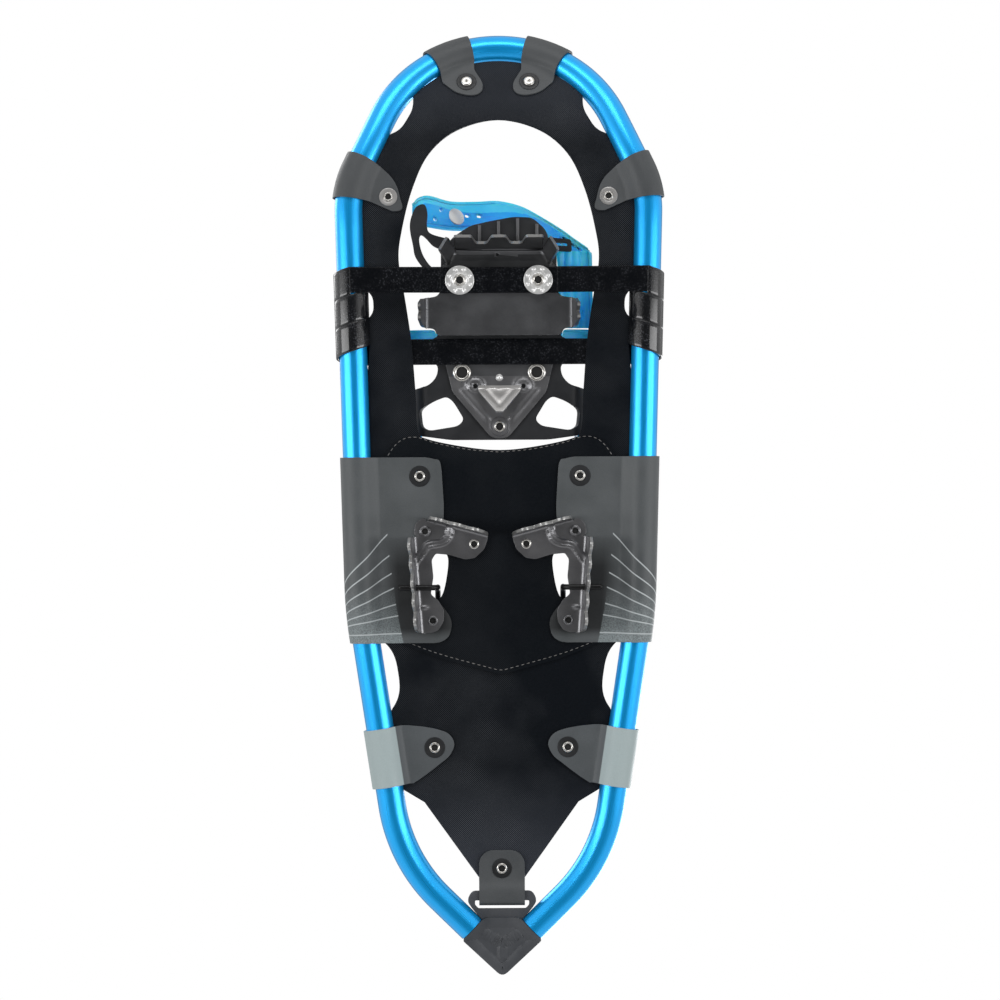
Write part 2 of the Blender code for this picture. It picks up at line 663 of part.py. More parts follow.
CRAMPON_RIVET_X = (24.0, -24.0)
TOE_FRONT_Y = 158.0
TOE_FRONT_HALF = 27.0
TOE_SHOULDER = (32.2, 148.2)
SIDE_FOLD_X = 44.0
SIDE_FOLD_Y = (108.8, 126.4)
TOE_PLATE_HALF = [(0.0, TOE_FRONT_Y), (TOE_FRONT_HALF, TOE_FRONT_Y), TOE_SHOULDER, (35.2, 146.4),
                  (35.6, 142.0), (35.6, 131.0), (38.0, 127.8), (SIDE_FOLD_X, 126.6), (SIDE_FOLD_X, 108.6),
                  (39.5, 107.8), (38.0, 103.8), (0.0, 103.8)]
TOE_FLANGE_LEAN = 21.0
CORNER_FLANGE_LEAN = 24.0
SIDE_FLANGE_LEAN = 14.0
CLAW_LEAN = 50.0
SEAT = 0.9
FOLD_INSET = 0.35


def tip_depth(z, lean_deg):
    """Length of a leaning flange whose lowest corner just meets the ground."""
    return z / math.cos(math.radians(lean_deg))


def make_toe_crampon(pivot):
    """The folded toe crampon: body plate, leaning front teeth and a toothed flange on each side."""
    holes = [circle(x, STRAP_FRONT_Y, HOLE_RADIUS) for x in CRAMPON_RIVET_X]
    mesh = plate_mesh([mirrored(TOE_PLATE_HALF)] + holes, TOE_PLATE_Z, STEEL)
    part = add_part("toe_crampon", mesh, "dark_steel", pivot)
    root_z = TOE_PLATE_Z + SEAT
    front_y = TOE_FRONT_Y - STEEL - FOLD_INSET
    front_half = TOE_FRONT_HALF + 1.0
    teeth = teeth_profile(2 * front_half, 3, 10.2, tip_depth(root_z, TOE_FLANGE_LEAN), 0.2)
    line = [(front_half, front_y), (-front_half, front_y)]
    flange = flange_mesh(*line, root_z, [teeth], TOE_FLANGE_LEAN)
    boolean(part, add_part("toe_flange", flange, "dark_steel"), "UNION", "MANIFOLD")
    corner = [(-0.5, 0.2), (-1.0, -13.5), (8.5, -10.5), (10.0, 0.2)]
    flipped = [(10.0 - s, drop) for s, drop in reversed(corner)]
    start = (TOE_SHOULDER[0] - STEEL - FOLD_INSET, TOE_SHOULDER[1])
    end = (TOE_FRONT_HALF - STEEL - FOLD_INSET, TOE_FRONT_Y - 1.0)
    for line, edge in (([start, end], flipped), ([(-end[0], end[1]), (-start[0], start[1])], corner)):
        flange = flange_mesh(*line, root_z, [edge], CORNER_FLANGE_LEAN)
        boolean(part, add_part("corner_flange", flange, "dark_steel"), "UNION", "MANIFOLD")
    side_x = SIDE_FOLD_X - STEEL - FOLD_INSET
    length = SIDE_FOLD_Y[1] - SIDE_FOLD_Y[0]
    teeth = teeth_profile(length, 2, 9.0, tip_depth(root_z, SIDE_FLANGE_LEAN), 0.2)
    right = [(side_x, y) for y in SIDE_FOLD_Y]
    left = [(-side_x, y) for y in reversed(SIDE_FOLD_Y)]
    for line in (right, left):
        flange = flange_mesh(*line, root_z, [teeth], SIDE_FLANGE_LEAN)
        boolean(part, add_part("side_flange", flange, "dark_steel"), "UNION", "MANIFOLD")


REAR_PLATE_HALF = [(0.0, 95.0), (34.0, 95.0), (32.8, 85.4), (28.8, 69.5), (5.8, 42.2), (2.4, 40.9),
                   (0.0, 40.9)]
REAR_CRAMPON_RIVETS = [(23.0, 81.5), (-23.0, 81.5), (0.0, 48.2)]
REAR_SIGHT_HOLES = [(14.8, 73.0), (-14.8, 73.0)]


def make_rear_crampon(pivot):
    """The V plate under the harness with its folded claw."""
    holes = [circle(x, y, HOLE_RADIUS) for x, y in REAR_CRAMPON_RIVETS]
    holes += [circle(x, y, 1.4) for x, y in REAR_SIGHT_HOLES]
    mesh = plate_mesh([mirrored(REAR_PLATE_HALF)] + holes, REAR_PLATE_Z, REAR_PLATE_THICKNESS)
    part = add_part("rear_crampon", mesh, "dark_steel", pivot)
    claw = [(0.0, 0.1), (1.5, -4.0), (10.5, -20.0), (15.5, -20.0), (24.5, -4.0), (26.0, 0.1)]
    mesh = flange_mesh((-13.0, 71.0), (13.0, 71.0), REAR_PLATE_Z + 0.2, [claw], CLAW_LEAN, 1.5)
    boolean(part, add_part("rear_claw", mesh, "dark_steel"), "UNION")


HEEL_PLATE = [(44.4, -7.0), (8.0, -16.8), (7.7, -21.0), (9.8, -27.0), (15.5, -32.4), (21.5, -33.3),
              (31.0, -30.4), (39.5, -29.6), (42.0, -33.5), (41.0, -44.0), (42.6, -54.5), (38.0, -58.4),
              (34.6, -64.3), (34.9, -71.2), (38.2, -76.6), (42.0, -78.0), (48.9, -78.2), (53.4, -17.4),
              (52.0, -11.0), (48.5, -8.0)]
HEEL_OUTER_LINE = [(49.1, -76.4), (53.3, -19.0)]
HEEL_FRONT_LINE = [(43.0, -7.6), (9.5, -16.6)]
HEEL_OUTER_LEAN = 13.0
HEEL_TOOTH_ROOT = 11.0
HEEL_FRONT_LEAN = 8.0


def make_heel_crampons():
    """A pair of folded heel crampons; the wire bail turns in their outer flanges."""
    bottom = HEEL_PLATE_TOP - STEEL
    root_z = bottom + SEAT
    for side, word in ((1.0, "right"), (-1.0, "left")):
        outline = [(side * x, y) for x, y in smooth(HEEL_PLATE, steps=1)]
        holes = [circle(side * x, y, HOLE_RADIUS) for x, y in HEEL_RIVETS]
        part = add_part(f"heel_crampon_{word}", plate_mesh([outline] + holes, bottom, STEEL), "dark_steel")
        folds = ((HEEL_OUTER_LINE, HEEL_OUTER_LEAN, 5, True), (HEEL_FRONT_LINE, HEEL_FRONT_LEAN, 3, False))
        for line, lean, teeth, wire in folds:
            a, b = (np.array((side * x, y)) for x, y in line)
            if side < 0:
                a, b = b, a
            along = (b - a) / np.linalg.norm(b - a)
            inset = np.array((along[1], -along[0])) * (STEEL + FOLD_INSET)
            a, b = a - inset, b - inset
            length = float(np.linalg.norm(b - a))
            outlines = [teeth_profile(length, teeth, HEEL_TOOTH_ROOT, tip_depth(root_z, lean), 0.5)]
            if wire:
                outlines.append(circle((BAIL_Y - a[1]) / along[1], BAIL_Z - root_z, BAIL_WIRE + 0.9))
            flange = flange_mesh(a, b, root_z, outlines, lean)
            boolean(part, add_part("heel_flange", flange, "dark_steel"), "UNION")


BASE_HALF = [(0.0, 156.5), (29.0, 156.5), (35.5, 161.0), (35.5, 146.0), (36.0, 130.0), (37.5, 104.0),
             (42.0, 101.5), (48.5, 101.0), (48.5, 90.0), (42.0, 89.0), (37.5, 85.5), (38.5, 79.0),
             (43.0, 74.0), (52.0, 71.0), (58.0, 70.0), (58.0, 50.0), (52.0, 43.0), (30.0, 40.0),
             (0.0, 39.6)]
BASE_WINDOW = [(49.0, 58.5), (40.0, 64.0), (32.5, 66.8), (28.5, 63.7), (21.8, 52.6), (25.5, 48.6),
               (43.0, 45.8), (47.8, 48.0)]
TOE_PIECE_HALF = [(0.0, 177.0), (19.0, 176.4), (27.5, 170.0), (30.6, 164.0), (30.6, 150.0), (18.0, 147.0),
                  (0.0, 147.0)]
TOE_PIECE_THICKNESS = 4.0
TOE_RIB_X = (-23.4, -11.7, 0.0, 11.7, 23.4)
TOE_RIB_HALF = 1.3
TOE_RIB_DROP = 3.0
TOE_LOOP_OUTER = [(31.2, 163.4), (41.7, 166.7), (44.0, 171.5), (43.6, 179.0), (45.5, 184.5), (50.5, 183.0),
                  (53.8, 176.0), (54.4, 169.0), (52.6, 159.3), (51.4, 152.9), (47.6, 147.0), (42.0, 140.5),
                  (36.6, 138.0)]
TOE_LOOP_INNER = [(36.6, 144.0), (41.0, 146.0), (45.0, 150.8), (47.6, 156.5), (48.8, 163.0), (47.6, 165.8),
                  (44.5, 163.6), (40.6, 159.4), (36.0, 157.2), (31.2, 156.8)]
TOE_LOOP_THICKNESS = 3.6
KEEPER_HALF = (6.0, 4.4)
KEEPER_CENTRE = (-38.4, 159.6)
KEEPER_THICKNESS = 5.0


def wing_lift(x):
    """How far the base's wing is turned up at this X."""
    out = max(0.0, abs(x) - WING_START_X) / WING_REACH
    return WING_RISE * out * out


def base_shape(point):
    """The harness base steps up behind the toe crampon and turns its wings up at the sides."""
    step = smoothstep((BASE_STEP_FRONT_Y - point[1]) / (BASE_STEP_FRONT_Y - BASE_STEP_REAR_Y))
    lift = (BASE_REAR_Z - BASE_FRONT_Z) * step + wing_lift(point[0])
    return Vector((point[0], point[1], point[2] + lift))


def make_harness(pivot):
    """The moulded base, the ribbed toe piece and the toe loop."""
    windows = [smooth(BASE_WINDOW, steps=2), smooth(flip_x(BASE_WINDOW), steps=2)]
    places = [(x, STRAP_FRONT_Y) for x in CRAMPON_RIVET_X] + REAR_CRAMPON_RIVETS
    holes = [circle(x, y, HOLE_RADIUS) for x, y in places]
    mesh = plate_mesh([mirrored(BASE_HALF)] + windows + holes, BASE_FRONT_Z, BASE_THICKNESS)
    rows = np.linspace(BASE_STEP_REAR_Y, BASE_STEP_FRONT_Y, 5)
    columns = [side * (WING_START_X + step) for side in (1.0, -1.0) for step in (0.0, 5.0, 9.5)]
    add_part("binding_base", bend(mesh, base_shape, rows, columns), "harness_black", pivot)
    floor = BASE_FRONT_Z + BASE_THICKNESS + GAP
    mesh = plate_mesh([mirrored(TOE_PIECE_HALF)], floor, TOE_PIECE_THICKNESS)
    part = add_part("toe_piece", mesh, "harness_black", pivot)
    for x in TOE_RIB_X:
        front = 174.5 if abs(x) < TOE_RIB_X[-1] else 169.0
        left, right = x - TOE_RIB_HALF, x + TOE_RIB_HALF
        rib = [(left, 159.0), (right, 159.0), (right, front), (left, front)]
        mesh = plate_mesh([rib], floor - TOE_RIB_DROP, TOE_RIB_DROP + 1.0)
        boolean(part, add_part("toe_rib", mesh, "harness_black"), "UNION")
    keeper = [(KEEPER_CENTRE[0] + sx * KEEPER_HALF[0], KEEPER_CENTRE[1] + sy * KEEPER_HALF[1])
              for sx, sy in ((1.2, 1.0), (-1.0, 0.7), (-1.1, -1.0), (1.5, -0.8))]
    mesh = plate_mesh([keeper], floor, KEEPER_THICKNESS)
    boolean(part, add_part("strap_keeper", mesh, "harness_black"), "UNION")
    loop = smooth(TOE_LOOP_OUTER, 2, closed=False) + smooth(TOE_LOOP_INNER, 2, closed=False)
    add_part("toe_loop", plate_mesh([loop], floor, TOE_LOOP_THICKNESS), "harness_black", pivot)


BAND_THICKNESS = 2.2
TOE_BAND_ROUTE = [(53.0, 179.0, 31.6), (48.0, 181.0, 33.0), (42.0, 181.0, 38.0), (30.0, 179.5, 51.0),
                  (14.0, 178.8, 60.0), (0.0, 178.2, 63.0), (-14.0, 176.5, 61.0), (-26.0, 172.0, 55.0),
                  (-38.0, 165.5, 46.0), (-47.0, 160.0, 40.0), (-53.0, 156.0, 37.0)]
TOE_BAND_WIDTH = [(0.0, 14.0, 1.0), (0.0, 18.0, 2.0), (1.0, 19.5, 4.0), (0.0, 18.0, 8.0), (0.0, 15.5, 11.0),
                  (0.0, 13.0, 12.0), (0.0, 9.0, 14.0), (0.0, 8.0, 13.0), (0.0, 8.0, 10.0), (3.0, 9.0, 8.0),
                  (6.0, 10.0, 5.0)]
SIDE_BAND_ROUTE = [(-50.5, 147.0, 35.0), (-50.2, 137.0, 36.0), (-50.0, 124.0, 37.0), (-49.5, 111.0, 38.5)]
SIDE_BAND_WIDTH = (-12.5, 0.0, 7.0)
INSTEP_Y = 98.5
INSTEP_WIDTH = 19.0
INSTEP_FLAT_X = (39.0, 49.0)
INSTEP_ROUTE = [(55.2, 41.0), (56.2, 52.0), (51.0, 66.0), (39.0, 78.0), (21.0, 84.6)]
INSTEP_TOP_Z = 85.9
HEEL_BAND_HALF = 47.0
HEEL_ARC_Y = -72.0
HEEL_BAND_Z = 51.0
HEEL_BAND_WIDTH = (0.0, 0.0, 18.0)
HEEL_BAND_SIDE = [(51.0, 70.0, 0.0), (50.0, 50.0, 0.0), (48.0, 10.0, 0.0), (47.0, -40.0, 2.0)]
HEEL_BAND_DIP = 3.0


def band_shell(path, across, thickness):
    """A band along a path in space, with one width vector, or one for each point of the path."""
    points = np.array(path)
    half = np.array(across) / 2
    return grid_shell(np.stack([points - half, points + half], axis=1), thickness)


def make_bands(pivot):
    """The blue straps: over the toes, along the right side, over the instep and round the heel."""
    route = smooth(TOE_BAND_ROUTE, 2, closed=False)
    widths = smooth(TOE_BAND_WIDTH, 2, closed=False)
    add_part("toe_strap", band_shell(route, widths, BAND_THICKNESS), "elastomer_blue", pivot)
    side = band_shell(smooth(SIDE_BAND_ROUTE, 2, closed=False), SIDE_BAND_WIDTH, BAND_THICKNESS)
    add_part("side_strap", side, "elastomer_blue", pivot)
    seat = BASE_REAR_Z + BASE_THICKNESS + GAP + BAND_THICKNESS / 2
    flat = [(x, seat + GAP + wing_lift(x)) for x in INSTEP_FLAT_X]
    half = smooth(flat + INSTEP_ROUTE + [(0.0, INSTEP_TOP_Z)], 2, closed=False)
    arch = [(x, INSTEP_Y, z) for x, z in half] + [(-x, INSTEP_Y, z) for x, z in reversed(half[:-1])]
    instep = band_shell(arch, (0.0, INSTEP_WIDTH, 0.0), BAND_THICKNESS)
    add_part("instep_strap", instep, "elastomer_blue", pivot)
    arc = np.linspace(0.0, -math.pi, 15)
    level = HEEL_BAND_Z + HEEL_BAND_DIP
    back = [(HEEL_BAND_HALF * math.cos(a), HEEL_ARC_Y + HEEL_BAND_HALF * math.sin(a), level) for a in arc]
    right = [(x, y, HEEL_BAND_Z + up) for x, y, up in HEEL_BAND_SIDE]
    left = [(-x, y, z) for x, y, z in reversed(right)]
    heel = band_shell(right + back + left, HEEL_BAND_WIDTH, BAND_THICKNESS)
    add_part("heel_strap", heel, "elastomer_blue", pivot)


def make_bail():
    """The heel lift: one bent wire whose ends turn in the heel crampons' flanges."""
    axis = add_axis("bail_axis", (0.0, BAIL_Y, BAIL_Z))
    back_y = BAIL_Y - BAIL_LENGTH
    corners = [(BAIL_END_X, BAIL_Y, BAIL_Z), (BAIL_HALF + 5.0, BAIL_Y, BAIL_Z),
               (BAIL_HALF + 1.0, BAIL_Y, BAIL_Z + 1.5), (BAIL_HALF, BAIL_Y, BAIL_Z + 5.0),
               (BAIL_HALF, BAIL_Y, BAIL_REST_Z - 4.0), (BAIL_HALF, BAIL_Y - 1.5, BAIL_REST_Z - 1.0),
               (BAIL_HALF, BAIL_Y - 5.0, BAIL_REST_Z), (BAIL_HALF, back_y + 7.0, BAIL_REST_Z),
               (BAIL_HALF - 2.0, back_y + 2.0, BAIL_REST_Z), (BAIL_HALF - 7.0, back_y, BAIL_REST_Z)]
    route = corners + [(-x, y, z) for x, y, z in reversed(corners)]
    add_part("heel_lift", tube_mesh(route, BAIL_WIRE, 2, True), "wire_black", axis)


def make_rivet(name, x, y, low, high, head=HEAD_RADIUS, tilt=0.0, axis_empty=None):
    """A turned rivet: a shank between two domed heads, square to the sheets it joins."""
    middle = (low + high) / 2
    half = (high - low) / 2
    side = [(0.0, half + HEAD_HEIGHT), (0.7 * head, half + 0.8 * HEAD_HEIGHT), (head, half),
            (SHANK_RADIUS, half)]
    profile = side + [(r, -z) for r, z in reversed(side)]
    mesh = bpy.data.meshes.new(name)
    points = [(r * MM, 0.0, z * MM) for r, z in profile]
    mesh.from_pydata(points, [(i, i + 1) for i in range(len(points) - 1)], [])
    rivet = bpy.data.objects.new(name, mesh)
    mesh.materials.append(MATERIALS["rivet_silver"])
    PARTS.objects.link(rivet)
    rivet.location = Vector((x, y, middle)) * MM
    rivet.rotation_euler = (tilt, 0.0, 0.0)
    if axis_empty:
        rivet.parent = axis_empty
        rivet.matrix_parent_inverse = Matrix.Translation(axis_empty.location).inverted()
    turn = rivet.modifiers.new("turn", "SCREW")
    turn.steps = RIVET_SIDES
    turn.render_steps = RIVET_SIDES
    turn.use_merge_vertices = True
    turn.merge_threshold = 0.00001


def make_rivets(pivot):
    """Every rivet, each through the layers it joins."""
    wrap_half = LEG_HEIGHT + WRAP_THICKNESS / 2 + GAP
    wrap_top = TUBE_CENTRE_Z + wrap_half
    heel_low = HEEL_PLATE_TOP - STEEL - GAP
    for x, y in both_sides(TOE_RIVETS + SHOULDER_RIVETS + REAR_RIVETS):
        word = "right" if x > 0 else "left"
        group = "toe" if y > 230.0 else "shoulder" if y > 100.0 else "rear"
        middle = TUBE_CENTRE_Z + rise(y)
        tilt = math.atan((rise(y + 1.0) - rise(y - 1.0)) / 2)
        make_rivet(f"{group}_rivet_{word}", x, y, middle - wrap_half, middle + wrap_half, tilt=tilt)
    for x, y in both_sides(SIDE_RIVETS):
        low = TUBE_CENTRE_Z - SIDE_LEG_HEIGHT - WRAP_THICKNESS / 2 - GAP
        make_rivet(f"side_rivet_{'right' if x > 0 else 'left'}", x, y, low, wrap_top)
    for word, side in (("right", 1.0), ("left", -1.0)):
        tops = (wrap_top, DECK_TOP + GAP, wrap_top)
        for place, (x, y), top in zip(("outer", "inner", "back"), HEEL_RIVETS, tops):
            make_rivet(f"heel_rivet_{place}_{word}", side * x, y, heel_low, top)
    make_rivet("tail_rivet", 0.0, TAIL_RIVET_Y, TUBE_CENTRE_Z - wrap_half, wrap_top)
    washer_top = PIVOT_Z - STRAP_THICKNESS / 2 - GAP
    for x in CRAMPON_RIVET_X:
        word = "right" if x > 0 else "left"
        ring = [circle(x, STRAP_FRONT_Y, WASHER_RADIUS, 14), circle(x, STRAP_FRONT_Y, HOLE_RADIUS)]
        mesh = plate_mesh(ring, washer_top - WASHER_THICKNESS, WASHER_THICKNESS)
        add_part(f"crampon_washer_{word}", mesh, "rivet_silver", pivot)
        low = washer_top - WASHER_THICKNESS - GAP
        high = BASE_FRONT_Z + BASE_THICKNESS + GAP
        make_rivet(f"crampon_rivet_{word}", x, STRAP_FRONT_Y, low, high, axis_empty=pivot)
    for number, (x, y) in enumerate(REAR_CRAMPON_RIVETS, start=1):
        top = BASE_REAR_Z + BASE_THICKNESS + GAP
        make_rivet(f"rear_crampon_rivet_{number}", x, y, REAR_PLATE_Z - GAP, top, axis_empty=pivot)


def main():
    """Builds the frame side, then the binding on its pivot, then the heel lift."""
    make_frame_tube()
    make_tail_tip()
    make_deck()
    make_heel_patch()
    make_wraps()
    make_tail_strap()
    make_windings()
    make_heel_crampons()
    pivot = add_axis("binding_axis", (0.0, STRAP_FRONT_Y, PIVOT_Z))
    make_strap_runs(pivot)
    make_toe_crampon(pivot)
    make_rear_crampon(pivot)
    make_harness(pivot)
    make_bands(pivot)
    make_bail()
    make_rivets(pivot)


main()
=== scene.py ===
import math

import bmesh
import bpy
import numpy as np
from mathutils import Matrix, Vector


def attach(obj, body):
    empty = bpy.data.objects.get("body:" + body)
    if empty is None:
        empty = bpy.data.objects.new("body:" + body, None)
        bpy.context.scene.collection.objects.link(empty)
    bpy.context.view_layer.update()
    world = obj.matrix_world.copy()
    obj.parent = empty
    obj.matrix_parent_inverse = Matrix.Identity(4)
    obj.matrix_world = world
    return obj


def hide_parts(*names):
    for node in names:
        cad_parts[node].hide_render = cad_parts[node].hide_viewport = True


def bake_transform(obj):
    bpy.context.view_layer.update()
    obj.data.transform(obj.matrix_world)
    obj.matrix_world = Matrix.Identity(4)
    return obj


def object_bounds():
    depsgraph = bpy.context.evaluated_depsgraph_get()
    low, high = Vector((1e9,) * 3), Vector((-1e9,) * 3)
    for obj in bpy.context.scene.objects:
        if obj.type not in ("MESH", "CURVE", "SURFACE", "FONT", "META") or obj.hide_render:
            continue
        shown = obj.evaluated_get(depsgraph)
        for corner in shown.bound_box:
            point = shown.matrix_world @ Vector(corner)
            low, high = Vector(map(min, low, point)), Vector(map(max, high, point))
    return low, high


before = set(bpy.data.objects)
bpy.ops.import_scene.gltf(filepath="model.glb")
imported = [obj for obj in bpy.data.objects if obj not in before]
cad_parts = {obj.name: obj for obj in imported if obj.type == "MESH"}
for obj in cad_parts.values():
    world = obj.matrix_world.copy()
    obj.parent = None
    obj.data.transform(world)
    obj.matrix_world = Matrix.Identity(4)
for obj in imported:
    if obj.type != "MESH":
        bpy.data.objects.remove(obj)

CAD_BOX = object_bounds()
MM = 0.001

# Right half of the tube's plan in millimetres: corners from toe to tail, and the radius of each bend
FRAME_CORNERS = [(0.0, 284.3), (50.0, 284.3), (92.4, 193.7), (85.0, -66.0), (62.1, -217.3), (18.5, -259.9)]
CORNER_RADII = [78.0, 60.0, 300.0, 100.0]

# Sizes in millimetres
TUBE_RADIUS = 8.5
TUBE_WALL = 1.2
TUBE_CENTRE_Z = 26.0
TURN_UP_START_Y = 168.7
TURN_UP_RADIUS = 200.0
DECK_THICKNESS = 1.2
PATCH_THICKNESS = 1.0
PATCH_MIDDLE_Z = 24.5
WRAP_THICKNESS = 1.2
WRAP_RADIUS = 9.7
WRAP_LEG_START = 13.5
WRAP_TURN_DEG = 128.0
BLEND_PULL = 5.0
LEG_HEIGHT = 1.6
SIDE_LEG_HEIGHT = 3.0
STRAP_WIDTH = 15.8
STRAP_THICKNESS = 1.6
STRAP_FRONT_Y = 137.5
STRAP_TURNS = 2.5
STRAP_PITCH = 17.2
STRAP_REAR_Y = STRAP_FRONT_Y - STRAP_TURNS * STRAP_PITCH
STRAP_RADIUS = 9.8
PIVOT_Z = 19.5
REAR_STRAP_Z = 27.8
CLOTH_EDGE = 0.25
WRAP_EDGE = 0.3
STRAP_EDGE = 0.45
STEEL_EDGE = 0.35
THIN_STEEL_EDGE = 0.3

SIDES = ((1.0, "right"), (-1.0, "left"))

CAMERA_LENS = 120.0
CAMERA_PLACE = (0.0, 0.003, -2.019)
CAMERA_ROLL_DEG = 0.3


# Stage: camera, floor, world and lamps

def make_camera():
    """The camera hangs below the object and looks straight up, with the toe at the top of the picture."""
    camera = bpy.data.cameras.new("camera")
    camera.lens = CAMERA_LENS
    camera.sensor_width = 36.0
    camera.clip_start = 0.05
    camera.clip_end = 50.0
    holder = bpy.data.objects.new("camera", camera)
    roll = math.radians(CAMERA_ROLL_DEG)
    right = Vector((-math.cos(roll), -math.sin(roll), 0.0))
    back = Vector((0.0, 0.0, -1.0))
    up = back.cross(right)
    turn = Matrix((right, up, back)).transposed().to_4x4()
    turn.translation = CAMERA_PLACE
    holder.matrix_world = turn
    bpy.context.scene.collection.objects.link(holder)
    bpy.context.scene.camera = holder


def make_lamp(name, place, aim, size, watts):
    """A soft rectangular lamp that faces a point."""
    lamp = bpy.data.lights.new(name, "AREA")
    lamp.shape = "RECTANGLE"
    lamp.size, lamp.size_y = size
    lamp.energy = watts
    holder = bpy.data.objects.new(name, lamp)
    holder.location = place
    holder.rotation_euler = (Vector(aim) - Vector(place)).to_track_quat("-Z", "Y").to_euler()
    bpy.context.scene.collection.objects.link(holder)


def make_lamps():
    """Two long strips beside the camera give the tube its two bright lines; soft boxes light the rest."""
    middle = (0.0, 0.0, 0.03)
    make_lamp("strip_left", (1.25, 0.0, -0.9), middle, (0.35, 1.5), 9.0)
    make_lamp("strip_right", (-1.25, 0.0, -0.9), middle, (0.35, 1.5), 9.0)
    make_lamp("low_fill", (0.0, 1.6, -1.1), middle, (1.2, 0.6), 9.0)
    make_lamp("top_key", (-1.1, -0.9, 1.7), middle, (1.2, 1.2), 26.0)
    make_lamp("top_fill", (1.4, 0.8, 1.3), middle, (1.2, 1.2), 14.0)


def add_node(tree, kind, inputs=(), **settings):
    """A shader node with its settings and its input values or links."""
    node = tree.nodes.new("ShaderNode" + kind)
    for name, value in settings.items():
        setattr(node, name, value)
    for socket, value in dict(inputs).items():
        if isinstance(value, bpy.types.NodeSocket):
            tree.links.new(value, node.inputs[socket])
        else:
            node.inputs[socket].default_value = value
    return node


def make_world():
    """White to the camera, a bright horizon and dark poles to reflections, and soft grey light."""
    world = bpy.data.worlds.new("studio")
    world.use_nodes = True
    bpy.context.scene.world = world
    tree = world.node_tree
    path = add_node(tree, "LightPath").outputs
    split = add_node(tree, "SeparateXYZ", {0: add_node(tree, "TexCoord").outputs["Normal"]})
    tilt = add_node(tree, "Math", {0: split.outputs["Z"]}, operation="ABSOLUTE").outputs[0]
    horizon = {"Value": tilt, "From Min": 0.45, "From Max": 1.0, "To Min": 1.0, "To Max": 0.1}
    shade = add_node(tree, "MapRange", horizon, interpolation_type="SMOOTHSTEP").outputs[0]
    mirror = add_node(tree, "Mix", {"Factor": path["Is Glossy Ray"], "A": 0.42, "B": shade}).outputs[0]
    clear = {0: path["Is Camera Ray"], 1: path["Is Transmission Ray"]}
    seen = add_node(tree, "Math", clear, operation="MAXIMUM").outputs[0]
    strength = add_node(tree, "Math", {0: mirror, 1: seen}, operation="MAXIMUM").outputs[0]
    ground = tree.nodes["Background"]
    ground.inputs["Color"].default_value = (1.0, 1.0, 1.0, 1.0)
    tree.links.new(strength, ground.inputs["Strength"])


def make_floor():
    """A pale floor under the points; its lower side is clear, so the view from below isn't closed off."""
    half = 4.0
    low = CAD_BOX[0][2] - 0.5 * MM
    corners = [(-half, -half, low), (half, -half, low), (half, half, low), (-half, half, low)]
    mesh = bpy.data.meshes.new("floor")
    mesh.from_pydata(corners, [], [(0, 1, 2, 3)])
    floor = bpy.data.objects.new("floor", mesh)
    bpy.context.scene.collection.objects.link(floor)
    material = bpy.data.materials.new("pale_floor")
    material.use_nodes = True
    tree = material.node_tree
    shader = tree.nodes["Principled BSDF"]
    shader.inputs["Base Color"].default_value = (0.86, 0.86, 0.86, 1.0)
    shader.inputs["Roughness"].default_value = 0.7
    below = add_node(tree, "NewGeometry").outputs["Backfacing"]
    sides = {0: below, 1: shader.outputs[0], 2: add_node(tree, "BsdfTransparent").outputs[0]}
    choose = add_node(tree, "MixShader", sides)
    tree.links.new(choose.outputs[0], tree.nodes["Material Output"].inputs["Surface"])
    mesh.materials.append(material)
    floor.visible_shadow = False
    floor.visible_diffuse = False
    floor.visible_glossy = False
    floor.visible_transmission = False


bpy.context.scene.view_settings.view_transform = "Standard"
make_camera()
make_lamps()
make_world()
make_floor()


# Finishes: every one is a node material on Object coordinates or on the piece's own UV map, both in metres

